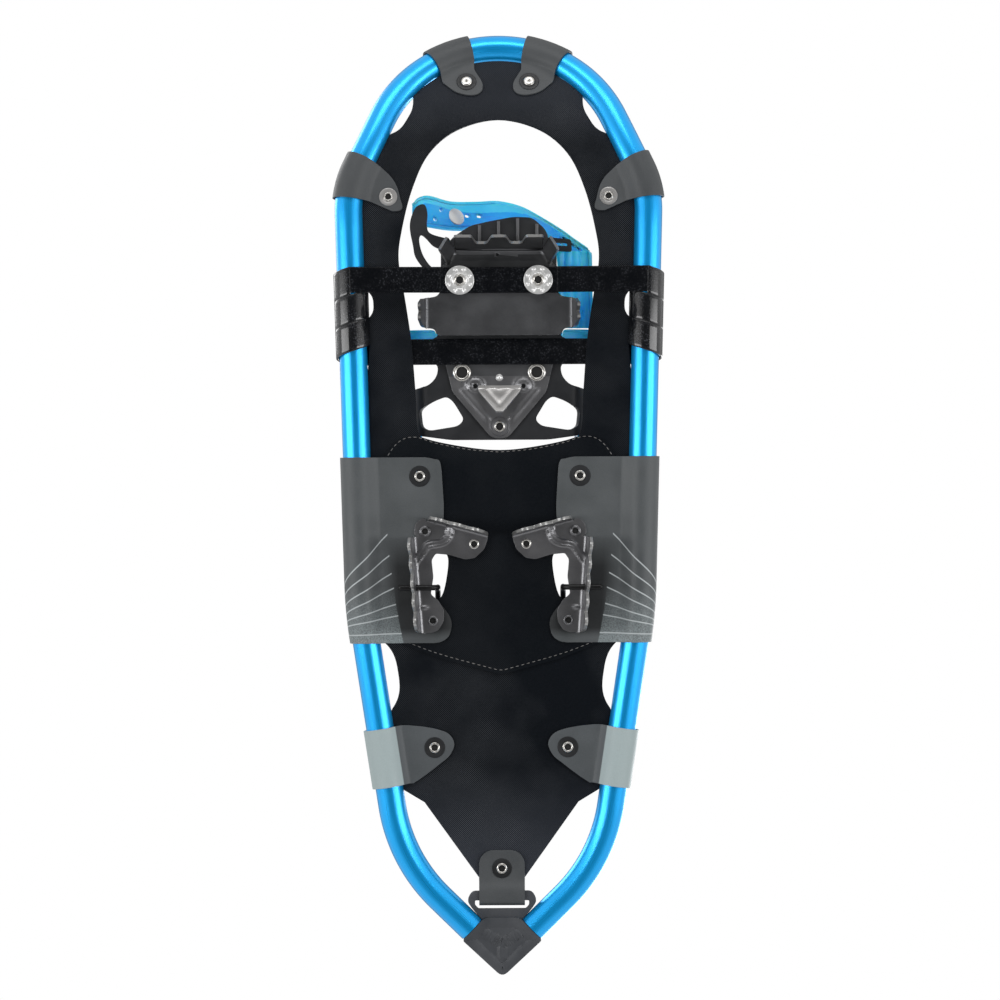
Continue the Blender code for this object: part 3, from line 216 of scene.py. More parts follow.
class Finish:
    """A Principled material with a few helpers for wiring its pattern nodes."""

    def __init__(self, name, colour, roughness, metallic=0.0, **sockets):
        self.material = bpy.data.materials.new(name)
        self.material.use_nodes = True
        self.links = self.material.node_tree.links
        self.shader = self.material.node_tree.nodes["Principled BSDF"]
        self.shader.inputs["Base Color"].default_value = (*colour, 1.0)
        self.shader.inputs["Roughness"].default_value = roughness
        self.shader.inputs["Metallic"].default_value = metallic
        for socket, value in sockets.items():
            self.shader.inputs[socket.replace("_", " ")].default_value = value

    def add(self, kind, inputs=(), **settings):
        """A node of this material."""
        return add_node(self.material.node_tree, kind, inputs, **settings)

    def place(self, kind="Object"):
        """Object or UV coordinates of the surface, in metres."""
        return self.add("TexCoord").outputs[kind]

    def noise(self, size_mm, detail=3.0, place=None, stretch=(1.0, 1.0, 1.0)):
        """Cloudy noise whose spots are about size_mm across."""
        spot = place or self.place()
        scaled = self.add("Mapping", {"Vector": spot, "Scale": stretch})
        inputs = {"Vector": scaled.outputs[0], "Scale": 1000.0 / size_mm, "Detail": detail}
        return self.add("TexNoise", inputs).outputs[0]

    def span(self, value, low, high, start=0.0, end=1.0):
        """A value moved from the range low..high to start..end."""
        inputs = {"Value": value, "From Min": low, "From Max": high, "To Min": start, "To Max": end}
        return self.add("MapRange", inputs).outputs[0]

    def sum(self, first, second, operation="ADD"):
        """Arithmetic on two values."""
        return self.add("Math", {0: first, 1: second}, operation=operation).outputs[0]

    def blend(self, cloud, grain):
        """A tone of six parts cloud and four parts grain."""
        return self.sum(self.times(cloud, 0.6), self.times(grain, 0.4))

    def times(self, first, second):
        """Product of two values."""
        return self.sum(first, second, "MULTIPLY")

    def tint(self, factor, first, second):
        """A colour between two colours, or between two colour sockets."""
        mix = self.add("Mix", {"Factor": factor}, data_type="RGBA")
        for socket, colour in (("A", first), ("B", second)):
            spot = [s for s in mix.inputs if s.name == socket and s.type == "RGBA"][0]
            if isinstance(colour, bpy.types.NodeSocket):
                self.links.new(colour, spot)
            else:
                spot.default_value = (*colour, 1.0)
        return [s for s in mix.outputs if s.type == "RGBA"][0]

    def paint(self, colour):
        """Gives the shader a patterned colour."""
        self.links.new(colour, self.shader.inputs["Base Color"])

    def gloss(self, value, low, high):
        """Gives the shader a patterned roughness from a 0..1 value."""
        self.links.new(self.span(value, 0.3, 0.7, low, high), self.shader.inputs["Roughness"])

    def bump(self, height, depth_mm, strength=1.0):
        """Gives the shader a relief of that depth."""
        node = self.add("Bump", {"Height": height, "Distance": depth_mm * MM, "Strength": strength})
        self.links.new(node.outputs[0], self.shader.inputs["Normal"])

    def mottle(self, tones, cloud_mm, gloss, grain_mm, depth_mm, strength):
        """Two tones in soft clouds that the gloss follows, over a fine grain in relief."""
        cloud = self.noise(cloud_mm, 4.0)
        self.paint(self.tint(self.span(cloud, 0.3, 0.7), *tones))
        self.gloss(cloud, *gloss)
        self.bump(self.noise(grain_mm, 3.0), depth_mm, strength)
        return self.material


def anodised_finish():
    """Clear blue anodised aluminium, drawn lines along the tube and faint cloudy tone."""
    finish = Finish("anodised_blue", (0.0, 0.4, 0.9), 0.3, 0.6, Coat_Weight=0.3, Coat_Roughness=0.18)
    uv = finish.place("UV")
    drawn = finish.noise(0.5, 2.0, uv, (1.0, 0.02, 1.0))
    cloud = finish.noise(40.0)
    finish.paint(finish.tint(finish.span(cloud, 0.3, 0.7), (0.0, 0.38, 0.87), (0.001, 0.42, 0.94)))
    finish.gloss(drawn, 0.26, 0.36)
    finish.bump(drawn, 0.015)
    return finish.material


def deck_finish(name, colour, bright, dots):
    """Coated cloth: a plain weave shows through the coating as rows of small raised dots. The dots are
    painted pale as glints in cloudy patches, near the side edges towards the toe and over the tail, and the
    tail and front crown are painted lighter as sheen.
    """
    finish = Finish(name, colour, 0.35, 0.0, Specular_IOR_Level=0.06)
    place = finish.place()
    split = finish.add("SeparateXYZ", {0: place})
    pitch = 2.0 * math.pi / (1.25 * MM)
    waves = [finish.sum(finish.times(split.outputs[axis], pitch), 0.0, "SINE") for axis in (0, 1)]
    weave = finish.times(waves[0], waves[1])
    cloud = finish.noise(60.0, 4.0)
    grain = finish.noise(0.7, 2.0)
    # Cloudy patches where the weave's dots are painted pale: painted glints.
    worn = finish.span(cloud, 0.42, 0.68)
    # Painted sheen: more pale dots near the side edges towards the toe and over the tail, where the curved
    # deck catches the light.
    tail = finish.span(split.outputs[1], -0.16, -0.225)
    edge = finish.span(finish.sum(split.outputs[0], 0.0, "ABSOLUTE"), 0.058, 0.076)
    front = finish.span(split.outputs[1], 0.06, 0.12)
    rubbed = finish.sum(finish.times(edge, front), tail, "MAXIMUM")
    worn = finish.sum(worn, finish.times(rubbed, finish.span(cloud, 0.3, 0.6)), "MAXIMUM")
    dot = finish.times(finish.span(weave, 0.35, 1.0), worn)
    base = finish.tint(finish.span(grain, 0.3, 0.7), colour, bright)
    # Painted sheen: the tail and the front crown are painted lighter.
    crown = finish.span(split.outputs[1], 0.222, 0.25, 0.0, 0.5)
    base = finish.tint(finish.sum(tail, crown, "MAXIMUM"), base, (0.028, 0.032, 0.041))
    # The pale dot colour is the painted glint.
    finish.paint(finish.tint(finish.times(dot, dots), base, (0.2, 0.21, 0.225)))
    finish.gloss(cloud, 0.28, 0.42)
    height = finish.sum(finish.times(weave, 0.6), grain, "ADD")
    finish.bump(height, 0.09, 0.7)
    return finish.material


def coated_sheet(name, colour, bright, specular):
    """Tough coated sheet with a fine pebble and a slightly uneven tone: its finish, colour and grain."""
    finish = Finish(name, colour, 0.5, 0.0, Specular_IOR_Level=specular)
    pebble = finish.add("TexVoronoi", {"Vector": finish.place(), "Scale": 1500.0}).outputs["Distance"]
    cloud = finish.noise(25.0, 4.0)
    grain = finish.noise(0.5, 3.0)
    finish.gloss(cloud, 0.42, 0.58)
    finish.bump(pebble, 0.05, 0.6)
    return finish, finish.tint(finish.span(finish.blend(cloud, grain), 0.3, 0.7), colour, bright), grain


def wrap_finish(name, colour, bright):
    """The plain wraps' sheet."""
    finish, sheet, _ = coated_sheet(name, colour, bright, 0.35)
    finish.paint(sheet)
    return finish.material


# Pale lines of the side wrap: Y at the outer edge, Y at the inner end and length across the sheet
SIDE_LINES = [(-50.5, -18.0, 34.5), (-56.7, -30.9, 35.3), (-62.8, -42.0, 36.3), (-67.3, -50.9, 37.4),
              (-71.5, -60.1, 38.0), (-74.7, -67.7, 38.8), (-79.4, -78.2, 39.6)]


def lined_wrap_finish(name, colour, bright, pale):
    """The side wrap's sheet with a fan of thin pale lines, fading into a speckled tone at its rear edge,
    and painted shade beside the heel crampon.

    UV u runs across the tube from its outer edge and v back along the tube. Each line is the set of points
    whose distance from a straight line in u and v is less than half the line's width.
    """
    finish, sheet, _ = coated_sheet(name, colour, bright, 0.4)
    split = finish.add("SeparateXYZ", {0: finish.place("UV")})
    out = finish.times(split.outputs[0], -1.0 / MM)
    back = finish.times(split.outputs[1], 1.0 / MM)
    start = station_at(-50.0)
    fade = finish.span(back, start, station_at(-84.0))
    inner = finish.sum(finish.span(fade, 0.0, 1.0, 37.5, 40.0), out, "SUBTRACT")
    lower = finish.times(finish.span(inner, 0.0, 0.6), finish.span(out, 0.0, 0.6))
    speck = finish.span(finish.noise(0.8, 3.0), 0.35, 0.68, 0.25, 1.0)
    zone = finish.times(finish.times(fade, lower), speck)
    # Painted shade beside the heel crampon: the sheet darkens from 31 to 40 mm across, comes in between Y
    # -20 and -38 mm and fades out by Y -81 mm.
    dark = finish.times(finish.span(out, 31.0, 40.0),
                        finish.span(back, station_at(-20.0), station_at(-38.0)))
    dark = finish.times(dark, finish.span(back, station_at(-75.0), station_at(-81.0), 0.85, 0.0))
    shaded = finish.tint(dark, sheet, (0.008, 0.009, 0.01))
    colour_now = finish.tint(finish.times(zone, 0.75), shaded, pale)
    drawn = None
    for first_y, last_y, width in SIDE_LINES:
        first, last = station_at(first_y), station_at(last_y)
        slope = (last - first) / width
        line = finish.sum(finish.times(out, slope), first)
        gap = finish.times(finish.sum(back, line, "SUBTRACT"), 1.0 / math.hypot(1.0, slope))
        ink = finish.span(finish.sum(gap, 0.0, "ABSOLUTE"), 0.26, 0.46, 1.0, 0.0)
        ends = finish.times(finish.span(out, 0.0, 1.0), finish.span(out, width - 0.4, width, 1.0, 0.0))
        ink = finish.times(ink, ends)
        drawn = ink if drawn is None else finish.sum(drawn, ink, "MAXIMUM")
    finish.paint(finish.tint(finish.times(drawn, 0.9), colour_now, (0.5, 0.54, 0.55)))
    return finish.material


def banded_wrap_finish(name, colour, bright, pale):
    """The rear wrap's sheet with a pale band round the tube's outside, where |u| is small."""
    finish, sheet, grain = coated_sheet(name, colour, bright, 0.4)
    split = finish.add("SeparateXYZ", {0: finish.place("UV")})
    out = finish.sum(finish.times(split.outputs[0], 1.0 / MM), 0.0, "ABSOLUTE")
    band = finish.span(out, 25.5, 26.2, 1.0, 0.0)
    paint = finish.tint(finish.span(grain, 0.3, 0.7), pale, tuple(1.1 * c for c in pale))
    finish.paint(finish.tint(band, sheet, paint))
    return finish.material


def strap_finish(name, painted_glint_level, coat):
    """Black coated webbing: a coarse pebble whose raised tops carry painted glints, under a clear coat of
    the given weight.
    """
    finish = Finish(name, (0.003, 0.0035, 0.0045), 0.3, 0.0, Specular_IOR_Level=0.12, Coat_Weight=coat,
                    Coat_Roughness=0.1)
    pebble = finish.add("TexVoronoi", {"Vector": finish.place(), "Scale": 800.0}).outputs["Distance"]
    cloud = finish.noise(9.0, 4.0)
    # Painted glints: pale specks on the pebble's raised tops, in cloudy patches; the first argument sets
    # their strength.
    painted_glint_spots = finish.times(finish.span(pebble, 0.42, 0.2), finish.span(cloud, 0.42, 0.62))
    finish.paint(finish.tint(finish.times(painted_glint_spots, painted_glint_level), (0.003, 0.0036, 0.005), (0.09, 0.095, 0.11)))
    finish.gloss(cloud, 0.2, 0.34)
    finish.bump(finish.sum(pebble, finish.noise(0.6, 2.0)), 0.2, 0.8)
    return finish.material


def steel_finish(name, colour, bright, roughness, metal=0.85):
    """Coated steel with fine grit and rubbed patches."""
    finish = Finish(name, colour, roughness, metal)
    grit = finish.noise(0.5, 3.0)
    rub = finish.noise(14.0, 5.0)
    tone = finish.blend(rub, grit)
    finish.paint(finish.tint(finish.span(tone, 0.25, 0.75), colour, bright))
    finish.gloss(tone, roughness - 0.05, roughness + 0.08)
    finish.bump(grit, 0.03, 0.6)
    return finish.material


def moulded_finish(name, colour, bright, roughness=0.5):
    """Moulded black plastic with a fine spark-eroded grain."""
    finish = Finish(name, colour, roughness, 0.0, Specular_IOR_Level=0.35)
    return finish.mottle((colour, bright), 18.0, (roughness - 0.08, roughness + 0.08), 0.35, 0.04, 0.7)


def elastomer_finish(name, colour, bright):
    """Soft blue elastomer, satin, with a faint mottle."""
    finish = Finish(name, colour, 0.4, 0.0, Subsurface_Weight=0.9, Subsurface_Scale=0.004,
                    Subsurface_Radius=(0.4, 0.9, 1.6))
    return finish.mottle((colour, bright), 12.0, (0.33, 0.46), 0.4, 0.03, 0.6)


def rivet_finish():
    """Plated brass rivet: bright, warm silver in soft spots, over a fine grain."""
    finish = Finish("rivet_silver", (0.62, 0.6, 0.57), 0.26, 0.95)
    spot = finish.noise(2.5, 4.0)
    finish.paint(finish.tint(finish.span(spot, 0.35, 0.7), (0.52, 0.5, 0.47), (0.7, 0.69, 0.66)))
    finish.gloss(spot, 0.2, 0.36)
    finish.bump(finish.noise(0.4, 2.0), 0.02, 0.6)
    return finish.material


# Geometry helpers: points are whole numpy arrays in millimetres

def add_piece(name, points, faces, finishes, body, uv=None, closed=False):
    """Links a mesh of points (n, 3) in millimetres and index faces as a piece that rides on a body.

    The normals of a closed one are turned to face outwards.
    """
    mesh = bpy.data.meshes.new(name)
    corners = (np.asarray(points, dtype=float).reshape(-1, 3) * MM).tolist()
    mesh.from_pydata(corners, [], [tuple(int(i) for i in face) for face in faces])
    for finish in [finishes] if isinstance(finishes, str) else finishes:
        mesh.materials.append(FINISHES[finish])
    if uv is not None:
        layer = mesh.uv_layers.new(name="UVMap")
        corner = np.empty(len(mesh.loops), dtype=np.int32)
        mesh.loops.foreach_get("vertex_index", corner)
        layer.data.foreach_set("uv", (np.asarray(uv).reshape(-1, 2)[corner] * MM).ravel())
    mesh.shade_smooth()
    mesh.set_sharp_from_angle(angle=math.radians(35.0))
    piece = bpy.data.objects.new(name, mesh)
    bpy.context.scene.collection.objects.link(piece)
    if body:
        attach(piece, body)
    if closed:
        face_outwards(mesh)
    return piece


def face_outwards(mesh):
    """Recalculates a closed mesh's normals."""
    bm = bmesh.new()
    bm.from_mesh(mesh)
    bmesh.ops.recalc_face_normals(bm, faces=bm.faces)
    bm.to_mesh(mesh)
    bm.free()


def grid_faces(rows, columns, close_rows=False, close_columns=False):
    """Quads of a grid of points, with its last row or column joined to the first if asked."""
    number = np.arange(rows * columns).reshape(rows, columns)
    if close_rows:
        number = np.vstack([number, number[:1]])
    if close_columns:
        number = np.hstack([number, number[:, :1]])
    corners = (number[:-1, :-1], number[1:, :-1], number[1:, 1:], number[:-1, 1:])
    return np.stack(corners, axis=-1).reshape(-1, 4)


def give_wall(piece, thickness, edge, worn=0):
    """Thickens a surface and rounds its edges; the rounding may take the piece's second, worn finish."""
    wall = piece.modifiers.new("wall", "SOLIDIFY")
    wall.thickness = thickness * MM
    wall.offset = 0.0
    wall.material_offset_rim = worn
    rounding = piece.modifiers.new("edge", "BEVEL")
    rounding.width = edge * MM
    rounding.segments = 2
    rounding.limit_method = "ANGLE"
    rounding.angle_limit = math.radians(50.0)
    rounding.use_clamp_overlap = True
    if worn:
        rounding.material = worn
    return piece


def unit(vector):
    """Vectors cut to a length of one."""
    return vector / np.linalg.norm(vector, axis=-1, keepdims=True)


def round_angles(sides):
    """Angles evenly round a circle."""
    return np.linspace(0.0, 2.0 * math.pi, sides, endpoint=False)


def lengths_along(line):
    """Length of a line from its start to each of its points."""
    return np.concatenate(([0.0], np.cumsum(np.linalg.norm(np.diff(line, axis=0), axis=1))))


def spread(*values):
    """Coordinates that may each vary along rows or columns, as one grid of points."""
    return np.stack(np.broadcast_arrays(*values), axis=-1)


def hump(distance, width):
    """A round bump, exp(-(distance / width)^2), that is one at no distance."""
    return np.exp(-((distance / width) ** 2))


def smoothstep(value):
    """An S-shaped ramp: 0 below 0, 1 above 1, 3t^2 - 2t^3 between."""
    t = np.clip(value, 0.0, 1.0)
    return t * t * (3.0 - 2.0 * t)


def curve_through(points, steps=8, closed=True):
    """Catmull-Rom curve through points: each span is the usual cubic of its four neighbours."""
    array = np.asarray(points, dtype=float)
    if closed:
        padded = np.vstack([array[-1:], array, array[:2]])
    else:
        padded = np.vstack([2 * array[:1] - array[1:2], array, 2 * array[-1:] - array[-2:-1]])
    a, b, c, d = padded[:-3, None], padded[1:-2, None], padded[2:-1, None], padded[3:, None]
    t = (np.arange(steps) / steps)[None, :, None]
    bent = 2 * b + (c - a) * t + (2 * a - 5 * b + 4 * c - d) * t**2 + (3 * b - a - 3 * c + d) * t**3
    line = 0.5 * bent.reshape(-1, array.shape[1])
    return line if closed else np.vstack([line, array[-1:]])


def round_corners(points, radius, steps=5):
    """A closed outline with each corner cut by a quadratic curve that starts a radius before the corner."""
    array = np.asarray(points, dtype=float)
    before = np.roll(array, 1, axis=0) - array
    after = np.roll(array, -1, axis=0) - array
    far_before = np.linalg.norm(before, axis=1, keepdims=True)
    far_after = np.linalg.norm(after, axis=1, keepdims=True)
    reach = np.minimum(np.broadcast_to(np.asarray(radius, dtype=float).reshape(-1, 1), far_before.shape),
                       0.48 * np.minimum(far_before, far_after))
    start = array + before / far_before * reach
    end = array + after / far_after * reach
    t = np.linspace(0.0, 1.0, steps)[None, :, None]
    bent = start[:, None] * (1 - t) ** 2 + 2 * array[:, None] * t * (1 - t) + end[:, None] * t**2
    return bent.reshape(-1, 2)


def mirrored(half):
    """A closed outline from its half on the +X side, which runs from centre line to centre line."""
    half = np.asarray(half, dtype=float)
    other = half[::-1] * (-1.0, 1.0)
    return np.vstack([half, other[np.abs(other[:, 0]) > 1e-6]])


def circle(x, y, radius, sides=32):
    """Points evenly round a centre."""
    angle = round_angles(sides)
    return np.stack([x + radius * np.cos(angle), y + radius * np.sin(angle)], axis=1)


def flat_pattern(outlines, step_x, step_y=None):
    """A flat sheet cut to outlines (the first is the edge, the others are holes), then ruled into a grid.

    Returns its points (n, 2) and its faces.
    """
    curve = bpy.data.curves.new("pattern", "CURVE")
    curve.dimensions = "2D"
    curve.fill_mode = "BOTH"
    for outline in outlines:
        spline = curve.splines.new("POLY")
        spline.points.add(len(outline) - 1)
        flat = np.zeros((len(outline), 4))
        flat[:, :2] = outline
        flat[:, 3] = 1.0
        spline.points.foreach_set("co", flat.ravel())
        spline.use_cyclic_u = True
    holder = bpy.data.objects.new("pattern", curve)
    bpy.context.scene.collection.objects.link(holder)
    bpy.context.view_layer.update()
    mesh = bpy.data.meshes.new_from_object(holder.evaluated_get(bpy.context.evaluated_depsgraph_get()))
    bpy.data.objects.remove(holder, do_unlink=True)
    bm = bmesh.new()
    bm.from_mesh(mesh)
    bmesh.ops.remove_doubles(bm, verts=bm.verts, dist=0.001)
    edge = np.asarray(outlines[0])
    low, high = edge.min(axis=0), edge.max(axis=0)
    step_y = step_y or step_x
    cuts = [((x, 0.0, 0.0), (1.0, 0.0, 0.0)) for x in np.arange(low[0] + step_x, high[0], step_x)]
    cuts += [((0.0, y, 0.0), (0.0, 1.0, 0.0)) for y in np.arange(low[1] + step_y, high[1], step_y)]
    for place, normal in cuts:
        everything = bm.verts[:] + bm.edges[:] + bm.faces[:]
        bmesh.ops.bisect_plane(bm, geom=everything, plane_co=place, plane_no=normal, dist=0.0005)
    for face in bm.faces:
        if face.normal.z < 0.0:
            face.normal_flip()
    bm.to_mesh(mesh)
    bm.free()
    points = np.empty(len(mesh.vertices) * 3)
    mesh.vertices.foreach_get("co", points)
    faces = [tuple(face.vertices) for face in mesh.polygons]
    bpy.data.meshes.remove(mesh)
    return points.reshape(-1, 3)[:, :2].copy(), faces


def level(flat, height):
    """Flat points at one height."""
    return np.column_stack([flat, np.full(len(flat), height)])


def paint_where(piece, number, choose):
    """Gives a finish to the faces whose middle, in flat millimetres, a test of u and v chooses."""
    mesh = piece.data
    start = np.empty(len(mesh.polygons), dtype=np.int32)
    total = np.empty(len(mesh.polygons), dtype=np.int32)
    mesh.polygons.foreach_get("loop_start", start)
    mesh.polygons.foreach_get("loop_total", total)
    uv = np.empty(2 * len(mesh.loops))
    mesh.uv_layers[0].data.foreach_get("uv", uv)
    u, v = (np.add.reduceat(uv.reshape(-1, 2), start, axis=0) / total[:, None]).T / MM
    mesh.polygons.foreach_set("material_index", np.where(choose(u, v), number, 0).astype(np.int32))


def rise(y):
    """How far the toe's turn-up lifts a point: the sagitta of a circle that starts at TURN_UP_START_Y."""
    ahead = np.maximum(0.0, np.asarray(y, dtype=float) - TURN_UP_START_Y)
    return TURN_UP_RADIUS - np.sqrt(TURN_UP_RADIUS**2 - ahead**2)


def rounded_path(corners, radii, step=1.0):
    """Straight runs joined by circular arcs, then spaced evenly along their length."""
    points = [np.array(corners[0], dtype=float)[None]]
    for i, radius in enumerate(radii, start=1):
        before, corner, after = (np.array(corners[j], dtype=float) for j in (i - 1, i, i + 1))
        inward = unit(before - corner)
        outward = unit(after - corner)
        turn = math.pi - math.acos(float(np.clip(np.dot(inward, outward), -1.0, 1.0)))
        reach = radius * math.tan(turn / 2)
        middle = unit(inward + outward)
        centre = corner + middle * radius / math.cos(turn / 2)
        first = corner + inward * reach - centre
        last = corner + outward * reach - centre
        t = np.linspace(0.0, 1.0, max(3, int(turn * radius / 0.5)))[:, None]
        points.append(centre + (np.sin((1 - t) * turn) * first + np.sin(t * turn) * last) / math.sin(turn))
    points.append(np.array(corners[-1], dtype=float)[None])
    line = np.vstack(points)
    return even_points(line, step)


def even_points(line, step):
    """The same route with points evenly along its length."""
    length = lengths_along(line)
    station = np.linspace(0.0, length[-1], int(length[-1] / step) + 1)
    return np.stack([np.interp(station, length, line[:, k]) for k in range(line.shape[1])], axis=1)


HALF_PLAN = rounded_path(FRAME_CORNERS, CORNER_RADII)
PLAN_LENGTH = len(HALF_PLAN) - 1


def tube_frame(station):
    """Centre, inward and upward directions of the right side's tube at stations along its plan."""
    station = np.asarray(station, dtype=float)
    ticks = np.arange(PLAN_LENGTH + 1)

    def at(where):
        return np.stack([np.interp(where, ticks, HALF_PLAN[:, k]) for k in (0, 1)], axis=-1)

    place = at(station)
    heading = unit(at(np.minimum(station + 2.0, PLAN_LENGTH)) - at(np.maximum(station - 2.0, 0.0)))
    slope = (rise(place[..., 1] + heading[..., 1]) - rise(place[..., 1] - heading[..., 1])) / 2
    along = unit(np.concatenate([heading, slope[..., None]], axis=-1))
    inward = np.stack([heading[..., 1], -heading[..., 0], np.zeros_like(slope)], axis=-1)
    up = np.cross(inward, along)
    centre = np.concatenate([place, (TUBE_CENTRE_Z + rise(place[..., 1]))[..., None]], axis=-1)
    return centre, inward, unit(up)


def station_at(y):
    """The station where the tube's side passes a given Y."""
    return float(np.argmin(np.abs(HALF_PLAN[:, 1] - y) + 1000.0 * (HALF_PLAN[:, 0] < 15.0)))


def sweep(name, route, radius, sides, finishes, body):
    """A round bar along a route: rings of a circle in the plane across the route, closed by domed ends."""
    along = unit(np.gradient(route, axis=0))
    side = np.cross(along, (0.0, 0.0, 1.0))
    weak = np.linalg.norm(side, axis=1, keepdims=True) < 0.3
    side = unit(np.where(weak, np.cross(along, (0.0, 1.0, 0.0)), side))
    up = np.cross(side, along)
    angle = round_angles(sides)
    ring = np.cos(angle)[None, :, None] * side[:, None] + np.sin(angle)[None, :, None] * up[:, None]
    dome = np.radians((80.0, 55.0, 28.0))
    first = route[0] - along[0] * radius * np.sin(dome)[:, None]
    last = route[-1] + along[-1] * radius * np.sin(dome[::-1])[:, None]
    head = first[:, None] + radius * np.cos(dome)[:, None, None] * ring[0]
    tail = last[:, None] + radius * np.cos(dome[::-1])[:, None, None] * ring[-1]
    rings = np.vstack([head, route[:, None] + radius * ring, tail])
    count = len(rings)
    faces = grid_faces(count, sides, close_columns=True).tolist()
    faces += [list(range(sides)), list(range(count * sides - 1, (count - 1) * sides - 1, -1))]
    length = lengths_along(rings[:, 0])
    uv = spread(radius * angle[None, :], length[:, None])
    return add_piece(name, rings, faces, finishes, body, uv, closed=True)


FINISHES = {
    "tube": anodised_finish(),
    # The deck cloths' pale dots and lighter tail and crown are painted glints and painted sheen; the last
    # number is the dots' strength.
    "deck": deck_finish("deck_cloth", (0.004, 0.0055, 0.0075), (0.0075, 0.009, 0.012), 0.6),
    "patch": deck_finish("patch_cloth", (0.004, 0.0055, 0.0075), (0.0075, 0.009, 0.0115), 0.2),
    "wrap": wrap_finish("wrap_sheet", (0.055, 0.06, 0.064), (0.085, 0.09, 0.094)),
    "side_wrap": lined_wrap_finish("wrap_lined", (0.06, 0.067, 0.07), (0.095, 0.103, 0.108),
                                   (0.35, 0.41, 0.42)),
    "rear_wrap": banded_wrap_finish("wrap_banded", (0.06, 0.067, 0.072), (0.09, 0.1, 0.107),
                                    (0.36, 0.43, 0.435)),
    # The straps' second number is the strength of their painted glints.
    "strap": strap_finish("strap_black", 0.35, 0.0),
    "winding": strap_finish("strap_glossy", 0.5, 1.0),
    "steel": steel_finish("dark_steel", (0.1, 0.102, 0.108), (0.14, 0.143, 0.15), 0.36),
    "plate": steel_finish("grey_steel", (0.16, 0.16, 0.167), (0.23, 0.23, 0.238), 0.34),
    "worn": steel_finish("worn_edge", (0.3, 0.3, 0.3), (0.42, 0.42, 0.41), 0.34, 0.6),
    "bright": steel_finish("bright_steel", (0.42, 0.41, 0.4), (0.56, 0.55, 0.54), 0.3, 0.6),
    "tip": moulded_finish("tip_plastic", (0.046, 0.05, 0.057), (0.07, 0.074, 0.082)),
    "rib": moulded_finish("harness_rib", (0.085, 0.085, 0.09), (0.12, 0.12, 0.125), 0.4),
    "harness": moulded_finish("harness_black", (0.012, 0.013, 0.015), (0.022, 0.023, 0.026)),
    "cap": moulded_finish("rivet_cap", (0.012, 0.013, 0.014), (0.022, 0.023, 0.025), 0.42),
    # Painted shade: the near-black floor of each rivet's bore, standing for the dark inside of a deep hole.
    "hollow": moulded_finish("rivet_bore_painted_shade", (0.006, 0.006, 0.006), (0.012, 0.012, 0.012), 0.6),
    "wire": steel_finish("wire_black", (0.015, 0.015, 0.016), (0.03, 0.03, 0.03), 0.38),
    "band": elastomer_finish("elastomer_blue", (0.004, 0.39, 0.92), (0.012, 0.47, 1.0)),
    # Painted light: a paler copy of the blue elastomer, standing for the light that shines through the
    # bands from behind.
    "band_painted_light": elastomer_finish("elastomer_painted_light", (0.05, 0.6, 1.0), (0.08, 0.66, 1.0)),
    "rivet": rivet_finish(),
    "zinc": steel_finish("zinc_plate", (0.6, 0.6, 0.6), (0.78, 0.78, 0.77), 0.3, 0.5),
    "thread": wrap_finish("seam_thread", (0.14, 0.135, 0.13), (0.26, 0.25, 0.24)),
}


# Frame side

def make_tube():
    """The frame tube: a circle carried along the bent route, with its wall turned in at both ends."""
    station = np.arange(0.0, PLAN_LENGTH + 0.5, 2.0)
    centre, inward, up = tube_frame(station)
    flip = np.array((-1.0, 1.0, 1.0))
    centre = np.vstack([centre[:0:-1] * flip, centre])
    inward = np.vstack([inward[:0:-1] * flip, inward])
    up = np.vstack([up[:0:-1] * flip, up])
    inner = TUBE_RADIUS - TUBE_WALL
    count = len(centre)
    lip = 6
    index = np.concatenate(([lip, 0], np.arange(count), [count - 1, count - 1 - lip]))
    radius = np.concatenate(([inner, inner], np.full(count, TUBE_RADIUS), [inner, inner]))
    angle = round_angles(56)
    ring = (np.cos(angle)[None, :, None] * inward[index][:, None]
            + np.sin(angle)[None, :, None] * up[index][:, None])
    points = centre[index][:, None] + radius[:, None, None] * ring
    length = np.arange(len(index)) * 2.0
    uv = spread(TUBE_RADIUS * angle[None, :], length[:, None])
    faces = grid_faces(len(index), len(angle), close_columns=True)
    piece = add_piece("anodised_tube", points, faces, "tube", "frame", uv, closed=True)
    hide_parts("frame_tube")


DECK_RELIEFS = [(245.0, 13.0, 5.5), (STRAP_FRONT_Y - 23.0, 33.0, 2.1), (STRAP_FRONT_Y - 14.5, 8.0, 3.0),
                (-105.0, 22.0, 8.0)]
DECK_CLEARANCE = -0.25
TOE_HOLE_HALF = [(0.0, 237.6), (25.4, 231.0), (42.8, 216.0), (53.0, 193.9), (59.4, 168.7), (61.4, 150.3),
                 (57.5, 125.8), (54.0, 101.2), (51.5, 70.0), (50.0, 46.0), (44.0, 40.5), (20.0, 35.5),
                 (0.0, 33.7)]
KIDNEY = [(33.0, -30.0), (38.0, -26.8), (43.5, -31.0), (44.5, -43.0), (43.5, -55.0), (38.5, -58.0),
          (34.6, -52.0), (32.0, -37.0)]
DECK_TAIL = [(60.0, -174.5), (47.2, -182.2), (10.8, -233.0), (0.0, -234.0)]
TOE_RIVET = (19.4, 261.4)
SHOULDER_RIVET = (67.6, 189.0)
SIDE_RIVET = (49.1, 17.8)
HEEL_RIVETS = [(46.0, -16.0), (16.0, -23.8), (41.5, -70.6)]
REAR_RIVET = (40.8, -148.5)
TAIL_RIVET_Y = -222.7
RIVET_HOLE = 2.0


def both_sides(places):
    """Places on the right side and on the left side."""
    return [(side * x, y) for side in (1.0, -1.0) for x, y in places]


def kidney_holes():
    """Outlines of the holes that the bail's legs come up through."""
    return [curve_through(np.array(KIDNEY) * (side, 1.0), 6) for side, _ in SIDES]


